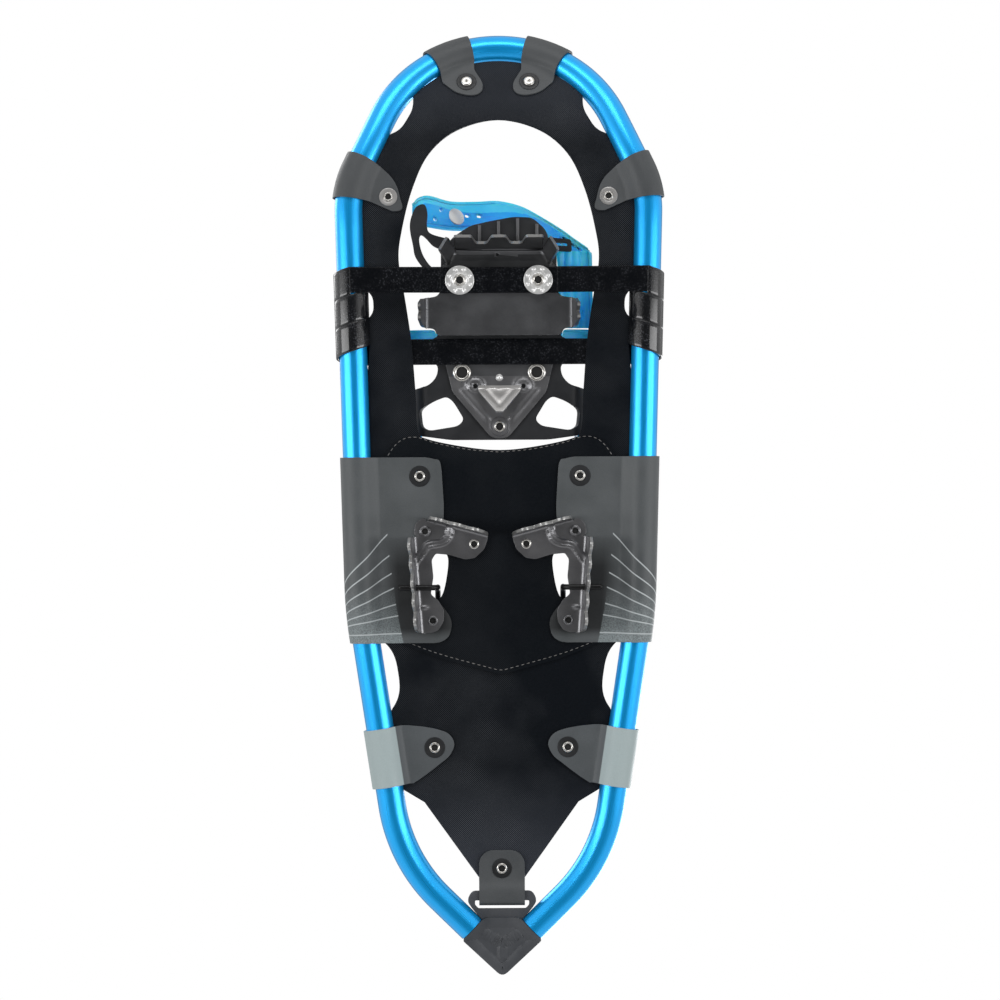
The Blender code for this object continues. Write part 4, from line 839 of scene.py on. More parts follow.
def deck_edge():
    """Right half of the deck's edge: at the tube, with a cubic hollow at each slot, then in to the tail."""
    station = np.arange(0.0, station_at(DECK_TAIL[0][1]), 1.5)
    centre, inward, _ = tube_frame(station)
    depth = np.zeros(len(station))
    for middle, half, extra in DECK_RELIEFS:
        across = np.abs(centre[:, 1] - middle) / half
        depth += extra * np.clip(1.0 - across**3, 0.0, 1.0)
    edge = centre[:, :2] + inward[:, :2] * (TUBE_RADIUS + DECK_CLEARANCE + depth)[:, None]
    edge[:, 0] = np.maximum(edge[:, 0], 0.0)
    return np.vstack([edge, DECK_TAIL])


def make_deck():
    """The deck: a flat cut sheet, lifted by the toe's turn-up, with a faint ripple between its rivets."""
    edge = mirrored(deck_edge())
    toe_hole = curve_through(mirrored(TOE_HOLE_HALF), 6)
    places = both_sides([TOE_RIVET, SHOULDER_RIVET, SIDE_RIVET, REAR_RIVET] + HEEL_RIVETS)
    holes = [circle(x, y, RIVET_HOLE, 12) for x, y in places + [(0.0, TAIL_RIVET_Y)]]
    flat, faces = flat_pattern([edge, toe_hole] + kidney_holes() + holes, 5.0)
    x, y = flat.T
    ripple = 0.25 * np.sin(y / 21.0) * np.cos(x / 17.0)
    points = np.stack([x, y, TUBE_CENTRE_Z + rise(y) + ripple], axis=1)
    piece = add_piece("deck_sheet", points, faces, "deck", "frame", flat)
    give_wall(piece, DECK_THICKNESS, CLOTH_EDGE)
    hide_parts("deck")
    return piece


PATCH_FRONT = [(0.0, 32.5), (20.0, 34.3), (40.0, 38.5), (52.0, 41.0), (63.2, 39.0), (70.0, 31.0)]
PATCH_BACK = [(73.0, 20.0), (71.5, -60.0), (68.0, -80.0), (58.9, -85.9), (35.6, -94.5), (0.0, -104.3)]


def make_heel_patch():
    """The second layer under the heel, with rounded ears and a shallow V behind."""
    edge = mirrored(np.vstack([curve_through(PATCH_FRONT, 6, False), PATCH_BACK]))
    holes = [circle(x, y, RIVET_HOLE, 12) for x, y in both_sides([SIDE_RIVET] + HEEL_RIVETS)]
    flat, faces = flat_pattern([edge] + kidney_holes() + holes, 5.0)
    points = level(flat, PATCH_MIDDLE_Z)
    piece = add_piece("heel_layer", points, faces, "patch", "frame", flat)
    give_wall(piece, PATCH_THICKNESS, CLOTH_EDGE)
    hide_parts("heel_patch")
    return piece


def add_pair(name, node, grid, finish, uv, thickness, edge):
    """A walled sheet on the frame's right side, from a grid of points, and its mirror image on the left."""
    faces = grid_faces(*grid.shape[:2])
    for side, word in SIDES:
        facing = faces if side > 0 else faces[:, ::-1]
        piece = add_piece(f"{name}_{word}", grid * (side, 1.0, 1.0), facing, finish, "frame", uv)
        give_wall(piece, thickness, edge)
        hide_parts(f"{node}_{word}")


def make_wrap(node, stations, reaches, low_height, finish, square=False, lean=0.0):
    """A pair of wraps, each a hairpin section carried along the tube.

    Across the tube the section is a lower tab, a cubic blend, an arc round the tube's outside, a second
    blend and an upper tab; the tabs' reach at each station gives their outline. A square wrap is cut
    straight across the shoe; the tabs of a leaning one drift back along the tube as they leave it.
    """
    station = np.asarray(stations, dtype=float)
    reach = np.maximum(np.asarray(reaches, dtype=float), WRAP_LEG_START + 1.0)
    centre, inward, up = tube_frame(station)
    angle = np.radians(np.linspace(-WRAP_TURN_DEG, WRAP_TURN_DEG, 33))
    arc = np.sin(angle)[None, :, None] * up[:, None] - np.cos(angle)[None, :, None] * inward[:, None]
    arc = centre[:, None] + WRAP_RADIUS * arc

    def on_deck(distance, height):
        back = np.stack([-inward[:, 1], inward[:, 0]], axis=1)[:, None]
        spot = centre[:, None, :2] + inward[:, None, :2] * distance[..., None]
        spot = spot + lean * back * (distance - WRAP_LEG_START)[..., None]
        return np.concatenate([spot, (TUBE_CENTRE_Z + rise(spot[..., 1]) + height)[..., None]], axis=-1)

    t = np.linspace(0.0, 1.0, 10)[None, :]
    tab = WRAP_LEG_START + t * (reach[:, None] - WRAP_LEG_START)
    low = on_deck(tab, -low_height)
    high = on_deck(tab, LEG_HEIGHT)

    def blend_run(tab_points, arc_end, arc_next):
        s = np.linspace(0.0, 1.0, 7)[None, 1:-1, None]
        leave = BLEND_PULL * unit(tab_points[:, 0] - tab_points[:, 1])
        meet = BLEND_PULL * unit(arc_next - arc_end)
        p, q = tab_points[:, None, 0], arc_end[:, None]
        cubic = (2 * s**3 - 3 * s**2 + 1) * p + (s**3 - 2 * s**2 + s) * leave[:, None]
        return cubic + (3 * s**2 - 2 * s**3) * q + (s**3 - s**2) * meet[:, None]

    lower = blend_run(low, arc[:, 0], arc[:, 1])
    upper = blend_run(high, arc[:, -1], arc[:, -2])
    sheet = np.concatenate([low[:, ::-1], lower, arc, upper[:, ::-1], high], axis=1)
    if square:
        sheet[..., 1] = centre[:, None, 1]
    across = np.concatenate((np.zeros((len(station), 1)), np.cumsum(
        np.linalg.norm(np.diff(sheet, axis=1), axis=2), axis=1)), axis=1)
    across = across - across[:, sheet.shape[1] // 2][:, None]
    uv = spread(across, station[:, None])
    add_pair(f"{node}_sheet", node, sheet, finish, uv, WRAP_THICKNESS, WRAP_EDGE)


# Round wraps: middle station, half length along the tube, least and extra reach, skew and lean
ROUND_WRAPS = {"toe_wrap": (30.0, 12.8, 19.5, 9.5, 0.0, -0.35),
               "shoulder_wrap": (131.5, 13.2, 18.0, 15.8, 0.1, 0.32)}
# Shaped wraps: Y and reach at the corners of their tabs
SIDE_WRAP = [(29.4, 42.0), (28.6, 47.0), (26.0, 51.0), (14.0, 52.0), (-8.0, 52.0), (-20.0, 47.0),
             (-27.0, 41.0), (-40.0, 40.0), (-54.0, 41.0), (-62.0, 49.0), (-71.0, 54.0), (-79.0, 52.0),
             (-83.0, 47.0), (-84.0, 42.0)]
REAR_WRAP = [(-136.4, 18.0), (-138.2, 27.0), (-139.8, 36.0), (-142.4, 41.5), (-148.9, 43.5),
             (-155.6, 39.5), (-160.3, 33.0), (-165.3, 26.0), (-169.1, 20.0), (-172.8, 15.0)]


def make_wraps():
    """All wraps: the reach of each follows an ellipse or a smooth curve through its corners."""
    across = np.cos(np.linspace(math.pi, 0.0, 41))
    for node, (middle, half, least, extra, skew, lean) in ROUND_WRAPS.items():
        bulge = np.sqrt(np.clip(1.0 - ((across - skew) / (1.0 + skew)) ** 2, 0.0, 1.0))
        make_wrap(node, middle + half * across, least + extra * bulge, LEG_HEIGHT, "wrap", lean=lean)
    make_wrap("side_wrap", *tab_line(SIDE_WRAP), SIDE_LEG_HEIGHT, "side_wrap", square=True)
    make_wrap("rear_wrap", *tab_line(REAR_WRAP), LEG_HEIGHT, "rear_wrap", lean=0.15)


def tab_line(corners):
    """Stations along the tube, and the reaches of tabs whose outline is a smooth curve through corners."""
    line = curve_through([(station_at(y), reach) for y, reach in corners], 7, closed=False)
    line[:, 0] = np.maximum.accumulate(line[:, 0])
    keep = np.concatenate(([True], np.diff(line[:, 0]) > 0.02))
    return line[keep].T


def make_tail_strap():
    """The tail loop: a rounded hairpin route in Y and Z carried across X, its ends cut to a rounded tab."""
    tab_y, neck_y, bend_y = -211.6, -230.0, -242.6
    low = curve_through([(tab_y, -1.6), (-222.0, -1.6), (neck_y, -1.65), (-236.0, -3.5), (bend_y, -3.6)],
                        8, False)
    turn = np.radians(np.linspace(-90.0, -270.0, 15))
    bend = np.column_stack([bend_y + 2.4 * np.cos(turn), 3.6 * np.sin(turn)])
    high = low[::-1] * (1.0, -1.0)
    route = np.vstack([low[:-1], bend, high[1:]])
    half = 14.0
    x = half * np.sin(np.linspace(-math.pi / 2, math.pi / 2, 33))
    corner = 9.0
    over = np.maximum(np.abs(x) - (half - corner), 0.0)
    cut = corner - np.sqrt(np.maximum(corner**2 - over**2, 0.0))
    length = route[:, 0][None, :]
    ends = tab_y - cut[:, None]
    squeeze = np.clip((length - neck_y) / (tab_y - neck_y), 0.0, 1.0)
    y = np.where(length > neck_y, neck_y + squeeze * (ends - neck_y), length)
    points = spread(x[:, None], y, TUBE_CENTRE_Z + route[:, 1][None, :])
    piece = add_piece("tail_loop_strap", points, grid_faces(*y.shape), "wrap", "frame")
    give_wall(piece, WRAP_THICKNESS, WRAP_EDGE)
    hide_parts("tail_strap")


def make_windings():
    """The strap's turns: a band whose angle round the tube grows with its way along it."""
    turn = np.linspace(0.0, STRAP_TURNS, int(STRAP_TURNS * 72) + 1)
    across = np.linspace(-0.5, 0.5, 9)
    width = STRAP_PITCH + 0.1
    station = station_at(STRAP_FRONT_Y) + STRAP_PITCH * turn[:, None] + width * across[None, :]
    centre, inward, up = tube_frame(station)
    angle = (-math.pi / 2 + 2 * math.pi * turn)[:, None, None]
    points = centre + (up * np.sin(angle) - inward * np.cos(angle)) * STRAP_RADIUS
    uv = spread(STRAP_WIDTH * across[None, :], 61.0 * turn[:, None])
    add_pair("wound_strap", "strap_winding", points, "winding", uv, STRAP_THICKNESS,
             STRAP_EDGE)


def strap_run(name, x, z, middle_y, body):
    """A flat strap along X: its height is given at each x, and it is straight across Y."""
    across = np.linspace(-STRAP_WIDTH / 2, STRAP_WIDTH / 2, 9)
    grid = spread(x[:, None], middle_y + across[None, :], z[:, None])
    uv = spread(across[None, :], x[:, None])
    piece = add_piece(name, grid, grid_faces(*grid.shape[:2]), "strap", body, uv)
    return give_wall(piece, STRAP_THICKNESS, STRAP_EDGE)


def make_strap_runs():
    """Front spans between frame and binding, the clamped middle, and the rear run."""
    gap = 0.4
    lap = 0.5
    front_x = tube_frame(station_at(STRAP_FRONT_Y))[0][0] + lap
    rear_x = tube_frame(station_at(STRAP_REAR_Y))[0][0] + lap
    low = TUBE_CENTRE_Z - STRAP_RADIUS
    high = TUBE_CENTRE_Z + STRAP_RADIUS
    inner = 36.3
    seam = -2.0
    tuck = 0.12
    t = np.linspace(0.0, 1.0, 41)
    for side, word in SIDES:
        x = side * (inner + seam + t * (front_x - inner - seam))
        piece = strap_run(f"twist_strap_{word}", x, PIVOT_Z + tuck + (low - PIVOT_Z) * smoothstep(t),
                          STRAP_FRONT_Y + gap, None)
        bake_modifiers(piece)
        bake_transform(piece)
        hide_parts(f"pivot_strap_{word}")
    x = np.linspace(-inner, inner, 61)
    piece = strap_run("clamped_strap", x, np.full(len(x), PIVOT_Z), STRAP_FRONT_Y, "binding")
    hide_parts("pivot_strap_middle")
    x = np.linspace(-rear_x, rear_x, 161)
    lift = smoothstep((np.abs(x) - 56.0) / (rear_x - 56.0))
    piece = strap_run("rear_strap_run", x, REAR_STRAP_Z + (high - REAR_STRAP_Z) * lift, STRAP_REAR_Y - gap,
                      "frame")
    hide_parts("rear_strap")


def bake_modifiers(piece):
    """Turns a piece's modifiers into its mesh."""
    bpy.context.view_layer.update()
    baked = bpy.data.meshes.new_from_object(piece.evaluated_get(bpy.context.evaluated_depsgraph_get()))
    piece.modifiers.clear()
    piece.data = baked


# Fasteners

def turned(profile, sides=40):
    """A profile (radius, height) turned about Z: returns its points ring by ring and its faces."""
    profile = np.asarray(profile, dtype=float)
    angle = round_angles(sides)
    ring = np.stack([np.cos(angle), np.sin(angle)], axis=-1)
    points = np.concatenate([profile[:, None, :1] * ring[None],
                             np.broadcast_to(profile[:, None, 1:], (len(profile), sides, 1))], axis=-1)
    return points, grid_faces(len(profile), sides, close_columns=True)


def hollow_head(ring, depth, bore):
    """Half profile of a rolled hollow rivet head, outwards from its dark bore, height from its seat."""
    roll = np.radians(np.linspace(180.0, 0.0, 9))
    middle = (0.98 + bore) / 2 * ring
    half = (0.98 - bore) / 2 * ring
    lip = np.column_stack([middle + half * np.cos(roll), 0.55 + 0.75 * np.sin(roll)])
    return np.vstack([[(0.02, -depth), (bore * ring, -depth)], lip, [(0.98 * ring, 0.0)]])


def make_rivet(node, place, low, high, body, ring=3.4, cap=6.1, tilt=0.0, bore=0.56,
               metals=("rivet", "cap")):
    """A hollow rivet through its sheets, on a dished cap at the lower side, with a domed head above."""
    x, y = place
    middle = (low + high) / 2
    half = (high - low) / 2
    lower = hollow_head(ring, -0.12, bore) + (0.0, half)
    cap_side = [(ring * 0.98, half + 0.1), (cap * 0.8, half + 0.62), (cap * 0.96, half + 0.42),
                (cap, half + 0.05), (cap * 0.97, half - 0.02), (1.6, half - 0.02)]
    upper = [(1.6, -half), (4.0, -half), (4.2, -half - 0.25), (3.9, -half - 0.85), (2.6, -half - 1.35),
             (1.0, -half - 1.55), (0.02, -half - 1.58)]
    profile = np.vstack([lower, cap_side, upper])
    points, faces = turned(profile * (1.0, -1.0))
    rings = np.repeat(np.arange(len(profile) - 1), points.shape[1])
    turn = np.array(((1.0, 0.0, 0.0), (0.0, math.cos(tilt), -math.sin(tilt)),
                     (0.0, math.sin(tilt), math.cos(tilt))))
    placed = points.reshape(-1, 3) @ turn.T + (x, y, middle)
    piece = add_piece(f"hollow_{node}", placed, faces, [*metals, "hollow"], body, closed=True)
    first_cap = len(lower) - 1
    last_cap = first_cap + len(cap_side)
    # The first two rings, the bore's shallow floor, take the near-black finish: painted shade for a deep
    # hole; the cap's rings take the second finish.
    kind = np.where(rings < 2, 2, np.where((rings >= first_cap) & (rings < last_cap), 1, 0))
    piece.data.polygons.foreach_set("material_index", kind.astype(np.int32))
    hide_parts(node)


# Frame rivets: place, radii of ring and cap, open share of the ring's radius, and finishes of ring and cap
RIVET_KINDS = {"toe": (TOE_RIVET, (3.5, 6.2), 0.08, ("rivet", "cap")),
               "shoulder": (SHOULDER_RIVET, (2.9, 5.6), 0.6, ("rivet", "bright")),
               "rear": (REAR_RIVET, (3.4, 6.4), 0.56, ("rivet", "cap"))}


def make_rivets():
    """Every rivet of the frame side, square to the sheets that it joins."""
    wrap_half = LEG_HEIGHT + WRAP_THICKNESS / 2
    wrap_top = TUBE_CENTRE_Z + wrap_half
    heel_low = 20.2
    for side, word in SIDES:
        for group, ((x, y), sizes, bore, metals) in RIVET_KINDS.items():
            middle = TUBE_CENTRE_Z + float(rise(y))
            tilt = math.atan(float(rise(y + 1.0) - rise(y - 1.0)) / 2)
            make_rivet(f"{group}_rivet_{word}", (side * x, y), middle - wrap_half, middle + wrap_half,
                       "frame", *sizes, tilt, bore, metals)
        low = TUBE_CENTRE_Z - SIDE_LEG_HEIGHT - WRAP_THICKNESS / 2
        place = (side * SIDE_RIVET[0], SIDE_RIVET[1])
        make_rivet(f"side_rivet_{word}", place, low, wrap_top, "frame", cap=6.5)
        tops = (wrap_top, TUBE_CENTRE_Z + DECK_THICKNESS / 2, wrap_top)
        for spot, (x, y), top in zip(("outer", "inner", "back"), HEEL_RIVETS, tops):
            metal = "rivet" if spot == "inner" else "plate"
            make_rivet(f"heel_rivet_{spot}_{word}", (side * x, y), heel_low, top, "frame", 3.2, 3.5,
                       metals=(metal, metal))
    make_rivet("tail_rivet", (0.0, TAIL_RIVET_Y), TUBE_CENTRE_Z - wrap_half, wrap_top, "frame")


BAIL_Y = -50.3
BAIL_Z = 15.5
BAIL_WIRE = 1.7
BAIL_HALF = 38.5
BAIL_END_X = 61.0
BAIL_LENGTH = 47.0
BAIL_REST_Z = 32.8


def make_bail():
    """The wire heel lift: straight runs joined by arcs, a round section carried along them."""
    back_y = BAIL_Y - BAIL_LENGTH
    half = [(BAIL_END_X, BAIL_Y, BAIL_Z), (BAIL_HALF, BAIL_Y, BAIL_Z), (BAIL_HALF, BAIL_Y, BAIL_REST_Z),
            (BAIL_HALF, back_y, BAIL_REST_Z)]
    corners = half + [(-x, y, z) for x, y, z in reversed(half)]
    route = rounded_path(corners, [5.0, 5.0, 7.0, 7.0, 5.0, 5.0], 0.8)
    piece = sweep("wire_bail", route, BAIL_WIRE, 18, "wire", "heel_lift")
    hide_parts("heel_lift")


# Right halves of the patch's front and back seams
SEAMS = [[(0.0, 32.4), (20.0, 34.2), (40.0, 38.2), (50.0, 41.6), (58.0, 41.2), (64.0, 37.0), (69.0, 30.0)],
         [(0.0, -101.6), (35.6, -91.8), (58.0, -83.6)]]
STITCH_PITCH = 3.4
STITCH_HALF = 1.05
STITCH_RADIUS = 0.24
STITCH_Z = 23.85


def make_stitches():
    """Lockstitch along the heel patch: each stitch is a short bar, an ellipse along its length."""
    seats = []
    for line in SEAMS:
        half = even_points(curve_through(line, 8, False), 0.5)
        whole = np.vstack([half[::-1] * (-1.0, 1.0), half[1:]])
        seats.append(even_points(whole, STITCH_PITCH))
    starts = np.vstack([seat[:-1] for seat in seats])
    ends = np.vstack([seat[1:] for seat in seats])
    along = unit(ends - starts)
    side = np.stack([-along[:, 1], along[:, 0]], axis=1)
    t = np.radians(np.linspace(-84.0, 84.0, 6))
    angle = round_angles(6)
    reach = STITCH_HALF * np.sin(t)
    width = STITCH_RADIUS * np.cos(t)
    middle = (starts + ends) / 2
    plan = (middle[:, None, None] + along[:, None, None] * reach[None, :, None, None]
            + side[:, None, None] * (width[:, None] * np.cos(angle)[None, :])[None, :, :, None])
    height = np.broadcast_to(STITCH_Z + (width[:, None] * np.sin(angle)[None, :])[None], plan.shape[:3])
    points = np.concatenate([plan, height[..., None]], axis=-1)
    one = grid_faces(len(t), len(angle), close_columns=True)
    count = len(t) * len(angle)
    faces = (one[None] + (np.arange(len(middle)) * count)[:, None, None]).reshape(-1, 4)
    add_piece("patch_stitching", points, faces, "thread", "frame", closed=True)


# Folded steel

STEEL = 1.8
TOE_PLATE_MIDDLE = 21.6
REAR_PLATE_MIDDLE = 29.75
REAR_PLATE_THICKNESS = 1.5
TONGUE_THICKNESS = 1.2
HEEL_PLATE_MIDDLE = 21.1
HEEL_TIP_Z = 1.6
CRAMPON_RIVET_X = 24.0
STEEL_HOLE = 2.2


def fold_down(points, flat, anchor, outward, radius, lean_deg, mask):
    """Folds the masked part of a sheet down along a line.

    Distance d beyond the line becomes an arc of the fold radius, then a straight flange that leans out.
    """
    outward = unit(np.asarray(outward, dtype=float))
    tangent = np.array((-outward[1], outward[0]))
    local = flat - np.asarray(anchor, dtype=float)
    d = local @ outward
    t = local @ tangent
    turn = math.radians(90.0 - lean_deg)
    angle = np.clip(d / radius, 0.0, turn)
    straight = np.maximum(d - radius * turn, 0.0)
    reach = radius * np.sin(angle) + straight * math.cos(turn)
    drop = radius * (1.0 - np.cos(angle)) + straight * math.sin(turn)
    folded = np.asarray(anchor) + t[:, None] * tangent + reach[:, None] * outward
    chosen = mask & (d > 0.0)
    result = points.copy()
    result[chosen, :2] = folded[chosen]
    result[chosen, 2] -= drop[chosen]
    return result


def flange_length(height, radius, lean_deg):
    """Flat length of a flange that comes down by a height: its arc and its straight part."""
    turn = math.radians(90.0 - lean_deg)
    return radius * turn + (height - radius * (1.0 - math.cos(turn))) / math.sin(turn)


def gaps_to(flat, start, end):
    """Vectors to flat points from the nearest place on each segment."""
    span = end - start
    away = flat[:, None] - start[None]
    t = np.einsum("psk,sk->ps", away, span) / np.einsum("sk,sk->s", span, span)
    return away - np.clip(t, 0.0, 1.0)[..., None] * span[None]


def near_line(flat, line, closed=False):
    """Distance of flat points from a chain of straight segments."""
    line = np.asarray(line, dtype=float)
    line = np.vstack([line, line[:1]]) if closed else line
    return np.linalg.norm(gaps_to(flat, line[:-1], line[1:]), axis=2).min(axis=1)


def side_of_line(flat, line):
    """Distance from a chain of segments, positive on its left side and negative on its right side."""
    span = np.diff(line, axis=0)
    gap = gaps_to(flat, line[:-1], line[1:])
    near = np.linalg.norm(gap, axis=2)
    best = near.argmin(axis=1)
    rows = np.arange(len(flat))
    turn = span[best, 0] * gap[rows, best, 1] - span[best, 1] * gap[rows, best, 0]
    return np.sign(turn) * near[rows, best]


def make_toe_crampon():
    """The toe crampon from its flat pattern: front teeth, corner flanges and toothed side flanges."""
    radius = 3.0
    depth = TOE_PLATE_MIDDLE - 0.5
    front_fold, front_lean = 154.9, 15.5
    front_end = front_fold + flange_length(depth, radius, front_lean)
    front_notch = front_end - 11.8
    side_fold, side_lean = 43.2, 7.0
    side_end = side_fold + flange_length(depth, radius, side_lean)
    side_notch = side_end - 3.0
    front_half = 27.35
    corner = np.array((27.0, 158.0))
    along = np.array((0.468, -0.883))
    out = np.array((0.883, 0.468))
    flap = [corner + t * along + d * out for t, d in ((1.4, 0.4), (-2.6, 16.5), (7.0, 18.0), (10.8, 1.0))]
    half = [(0.0, front_end), (4.3, front_end), (7.2, front_notch), (14.0, front_notch), (16.6, front_end),
            (27.2, front_end), (26.9, 158.4), (27.5, 156.4), *flap, (32.6, 148.0), (35.2, 146.4),
            (35.6, 142.0), (35.6, 131.0), (38.0, 127.8), (45.0, 126.6), (side_end - 11.0, 125.8),
            (side_end, 122.6), (side_end, 120.0), (side_notch, 118.4), (side_notch, 117.0),
            (side_end, 115.4), (side_end, 112.8), (side_end - 11.0, 109.4), (45.0, 108.6), (39.5, 107.8),
            (38.0, 103.8), (0.0, 103.8)]
    outline = round_corners(mirrored(half), 1.7, 4)
    holes = [circle(x, y, STEEL_HOLE, 20) for x, y in both_sides([(CRAMPON_RIVET_X, STRAP_FRONT_Y)])]
    flat, faces = flat_pattern([outline] + holes, 1.6)
    points = level(flat, TOE_PLATE_MIDDLE)
    x, y = flat.T
    dish = 0.5 * (smoothstep((y - 149.0) / 1.6) - smoothstep((y - 153.4) / 1.6))
    points[:, 2] += dish * smoothstep((25.0 - np.abs(x)) / 3.0)
    points = fold_down(points, flat, (0.0, front_fold), (0.0, 1.0), radius, front_lean,
                       np.abs(x) < front_half)
    for side in (1.0, -1.0):
        flip = np.array((side, 1.0))
        anchor = (corner - 3.1 * out) * flip
        mask = (side * x > front_half) & (y > 147.9)
        points = fold_down(points, flat, anchor, out * flip, radius, 24.0, mask)
        mask = (side * x > side_fold) & (y < 127.0)
        points = fold_down(points, flat, (side * side_fold, 0.0), (side, 0.0), radius, side_lean, mask)
    piece = add_piece("toe_claw_plate", points, faces, ["steel", "worn", "cap"], "binding", flat)
    # Painted shade: the strip of plate between the front fold and the strap takes the near-black cap
    # finish, so it reads as a dark recess.
    paint_where(piece, 2, lambda u, v: (v > 144.0) & (v < 152.6) & (np.abs(u) < 31.0))
    give_wall(piece, STEEL, STEEL_EDGE, worn=1)
    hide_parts("toe_crampon")


REAR_RIVETS = [(23.0, 81.5), (-23.0, 81.5), (0.0, 48.2)]
REAR_SIGHT_HOLES = [(14.8, 73.0), (-14.8, 73.0)]
BOSS_PROFILE = [(0.02, 1.9), (0.9, 1.7), (1.6, 1.2), (2.0, 0.4), (2.6, 0.2), (2.6, -0.2), (0.02, -0.2)]


def make_rear_crampon():
    """The V plate with pressed grooves along its arms and rings round its holes."""
    half = [(34.0, 95.0), (32.8, 85.4), (28.8, 69.5), (5.8, 42.2), (2.4, 40.9)]
    outline = round_corners(mirrored(half), 1.6, 4)
    holes = [circle(x, y, 2.6, 20) for x, y in REAR_RIVETS]
    holes += [circle(x, y, 1.5, 16) for x, y in REAR_SIGHT_HOLES]
    flat, faces = flat_pattern([outline] + holes, 1.0)
    height = np.zeros(len(flat))
    groove = np.full(len(flat), 99.0)
    for (side, _), hole in zip(SIDES, REAR_SIGHT_HOLES):
        line = np.array([(22.6, 70.5), (17.0, 64.0), (7.5, 53.0)]) * (side, 1.0)
        groove = np.minimum(groove, near_line(flat, line))
        ring = np.linalg.norm(flat - hole, axis=1)
        open_side = flat[:, 1] > 71.0
        height += 0.55 * hump(ring - 5.6, 1.0) * open_side
        height -= 0.45 * hump(ring - 3.2, 0.8)
    height -= 0.6 * hump(groove, 1.5)
    eye = np.linalg.norm(flat - REAR_RIVETS[2], axis=1)
    height += 0.5 * hump(eye - 5.0, 0.9)
    points = np.column_stack([flat, REAR_PLATE_MIDDLE + height])
    piece = add_piece("v_plate", points, faces, ["plate", "worn", "steel"], "binding", flat)
    paint_where(piece, 2, lambda u, v: v > 79.2)
    give_wall(piece, REAR_PLATE_THICKNESS, THIN_STEEL_EDGE, worn=1)
    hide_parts("rear_crampon")


def make_claw_tongue():
    """The bright tongue folded down out of the V plate, with a pressed V rib, and the boss above it."""
    lean = 50.0
    radius = 2.2
    start_y = 73.4
    length = flange_length(12.9, radius, lean)
    edge = [(-13.2, start_y), (-13.0, start_y - 3.6), (-2.2, start_y - length), (2.2, start_y - length),
            (13.0, start_y - 3.6), (13.2, start_y)]
    flat, faces = flat_pattern([round_corners(edge, 1.0, 4)], 0.8)
    rib = near_line(flat, [(-8.6, 70.6), (0.0, 57.6), (8.6, 70.6)])
    bulge = np.linalg.norm(flat - (0.0, 69.0), axis=1)
    crown = 0.6 * hump(rib, 1.4) + 0.8 * hump(bulge, 3.2)
    points = np.column_stack([flat, REAR_PLATE_MIDDLE - 1.3 + crown])
    points = fold_down(points, flat, (0.0, start_y - 1.2), (0.0, -1.0), radius, lean, flat[:, 1] < start_y)
    tongue = add_piece("claw_tongue", points, faces, ["bright", "worn"], "binding", flat)
    give_wall(tongue, TONGUE_THICKNESS, THIN_STEEL_EDGE, worn=1)
    points, faces = turned_at(BOSS_PROFILE, (0.0, 78.2, REAR_PLATE_MIDDLE - 0.4), (0.0, 0.0, -1.0))
    add_piece("claw_boss", points, faces, "zinc", "binding", closed=True)


# Edges of a right heel plate, round its inner side and round the corner between its two flanges
HEEL_INNER = [(7.7, -21.0), (9.8, -27.0), (15.5, -32.4), (21.5, -33.3), (31.0, -30.4), (39.5, -29.6),
              (42.0, -33.5), (41.0, -44.0), (42.6, -54.5), (38.0, -58.4), (34.6, -64.3), (34.9, -71.2),
              (38.2, -76.6), (42.0, -78.0)]
HEEL_CORNER = [(53.4, -19.6), (50.0, -19.0), (52.9, -18.0), (52.0, -11.5), (48.6, -8.4), (46.0, -8.0),
               (44.7, -10.6)]
TOOTH_HEIGHT = 5.0
# Where a tooth's foot, tip and foot lie, as shares of the teeth's pitch
TOOTH_SHARES = np.array((0.03, 0.36, 0.64, 0.97))
# The pressed step that parts the rivet's lobe from the rest of a heel plate
HEEL_STEP = [(54.5, -35.0), (51.7, -31.6), (47.6, -25.9), (44.3, -22.8), (36.9, -21.5), (33.2, -18.9),
             (32.0, -12.7), (32.2, -6.0)]


def tooth_row(start, end, count, setback, radius, lean):
    """Flat teeth from start to end of a heel flange, and its fold: anchor, direction and lean."""
    start = np.array(start)
    reach = np.array(end) - start
    along = unit(reach)
    outward = np.array((along[1], -along[0]))
    tip = flange_length(HEEL_PLATE_MIDDLE - HEEL_TIP_Z, radius, lean) - setback
    root = tip - TOOTH_HEIGHT
    pitch = np.linalg.norm(reach) / count
    stations = np.arange(count)[:, None] * pitch + pitch * TOOTH_SHARES
    heights = np.tile((root, tip, tip, root), count)
    teeth = start + stations.reshape(-1, 1) * along + heights[:, None] * outward
    return teeth, (start - outward * setback, outward, lean)


def heel_pattern(radius):
    """Flat pattern of the right heel crampon: the plate's outline with both flanges laid out flat."""
    teeth_outer, outer = tooth_row((49.1, -76.4), (53.3, -19.0), 5, 2.2, radius, 6.0)
    teeth_front, front = tooth_row((43.0, -7.6), (9.5, -16.6), 3, 3.4, radius, 3.0)
    anchor, outward, _ = outer
    wire = anchor + np.array((-outward[1], outward[0])) * 26.2 + outward * 7.4
    outline = np.vstack([teeth_front, HEEL_INNER, [(48.2, -78.0)], teeth_outer, HEEL_CORNER])
    return outline, outer, front, wire


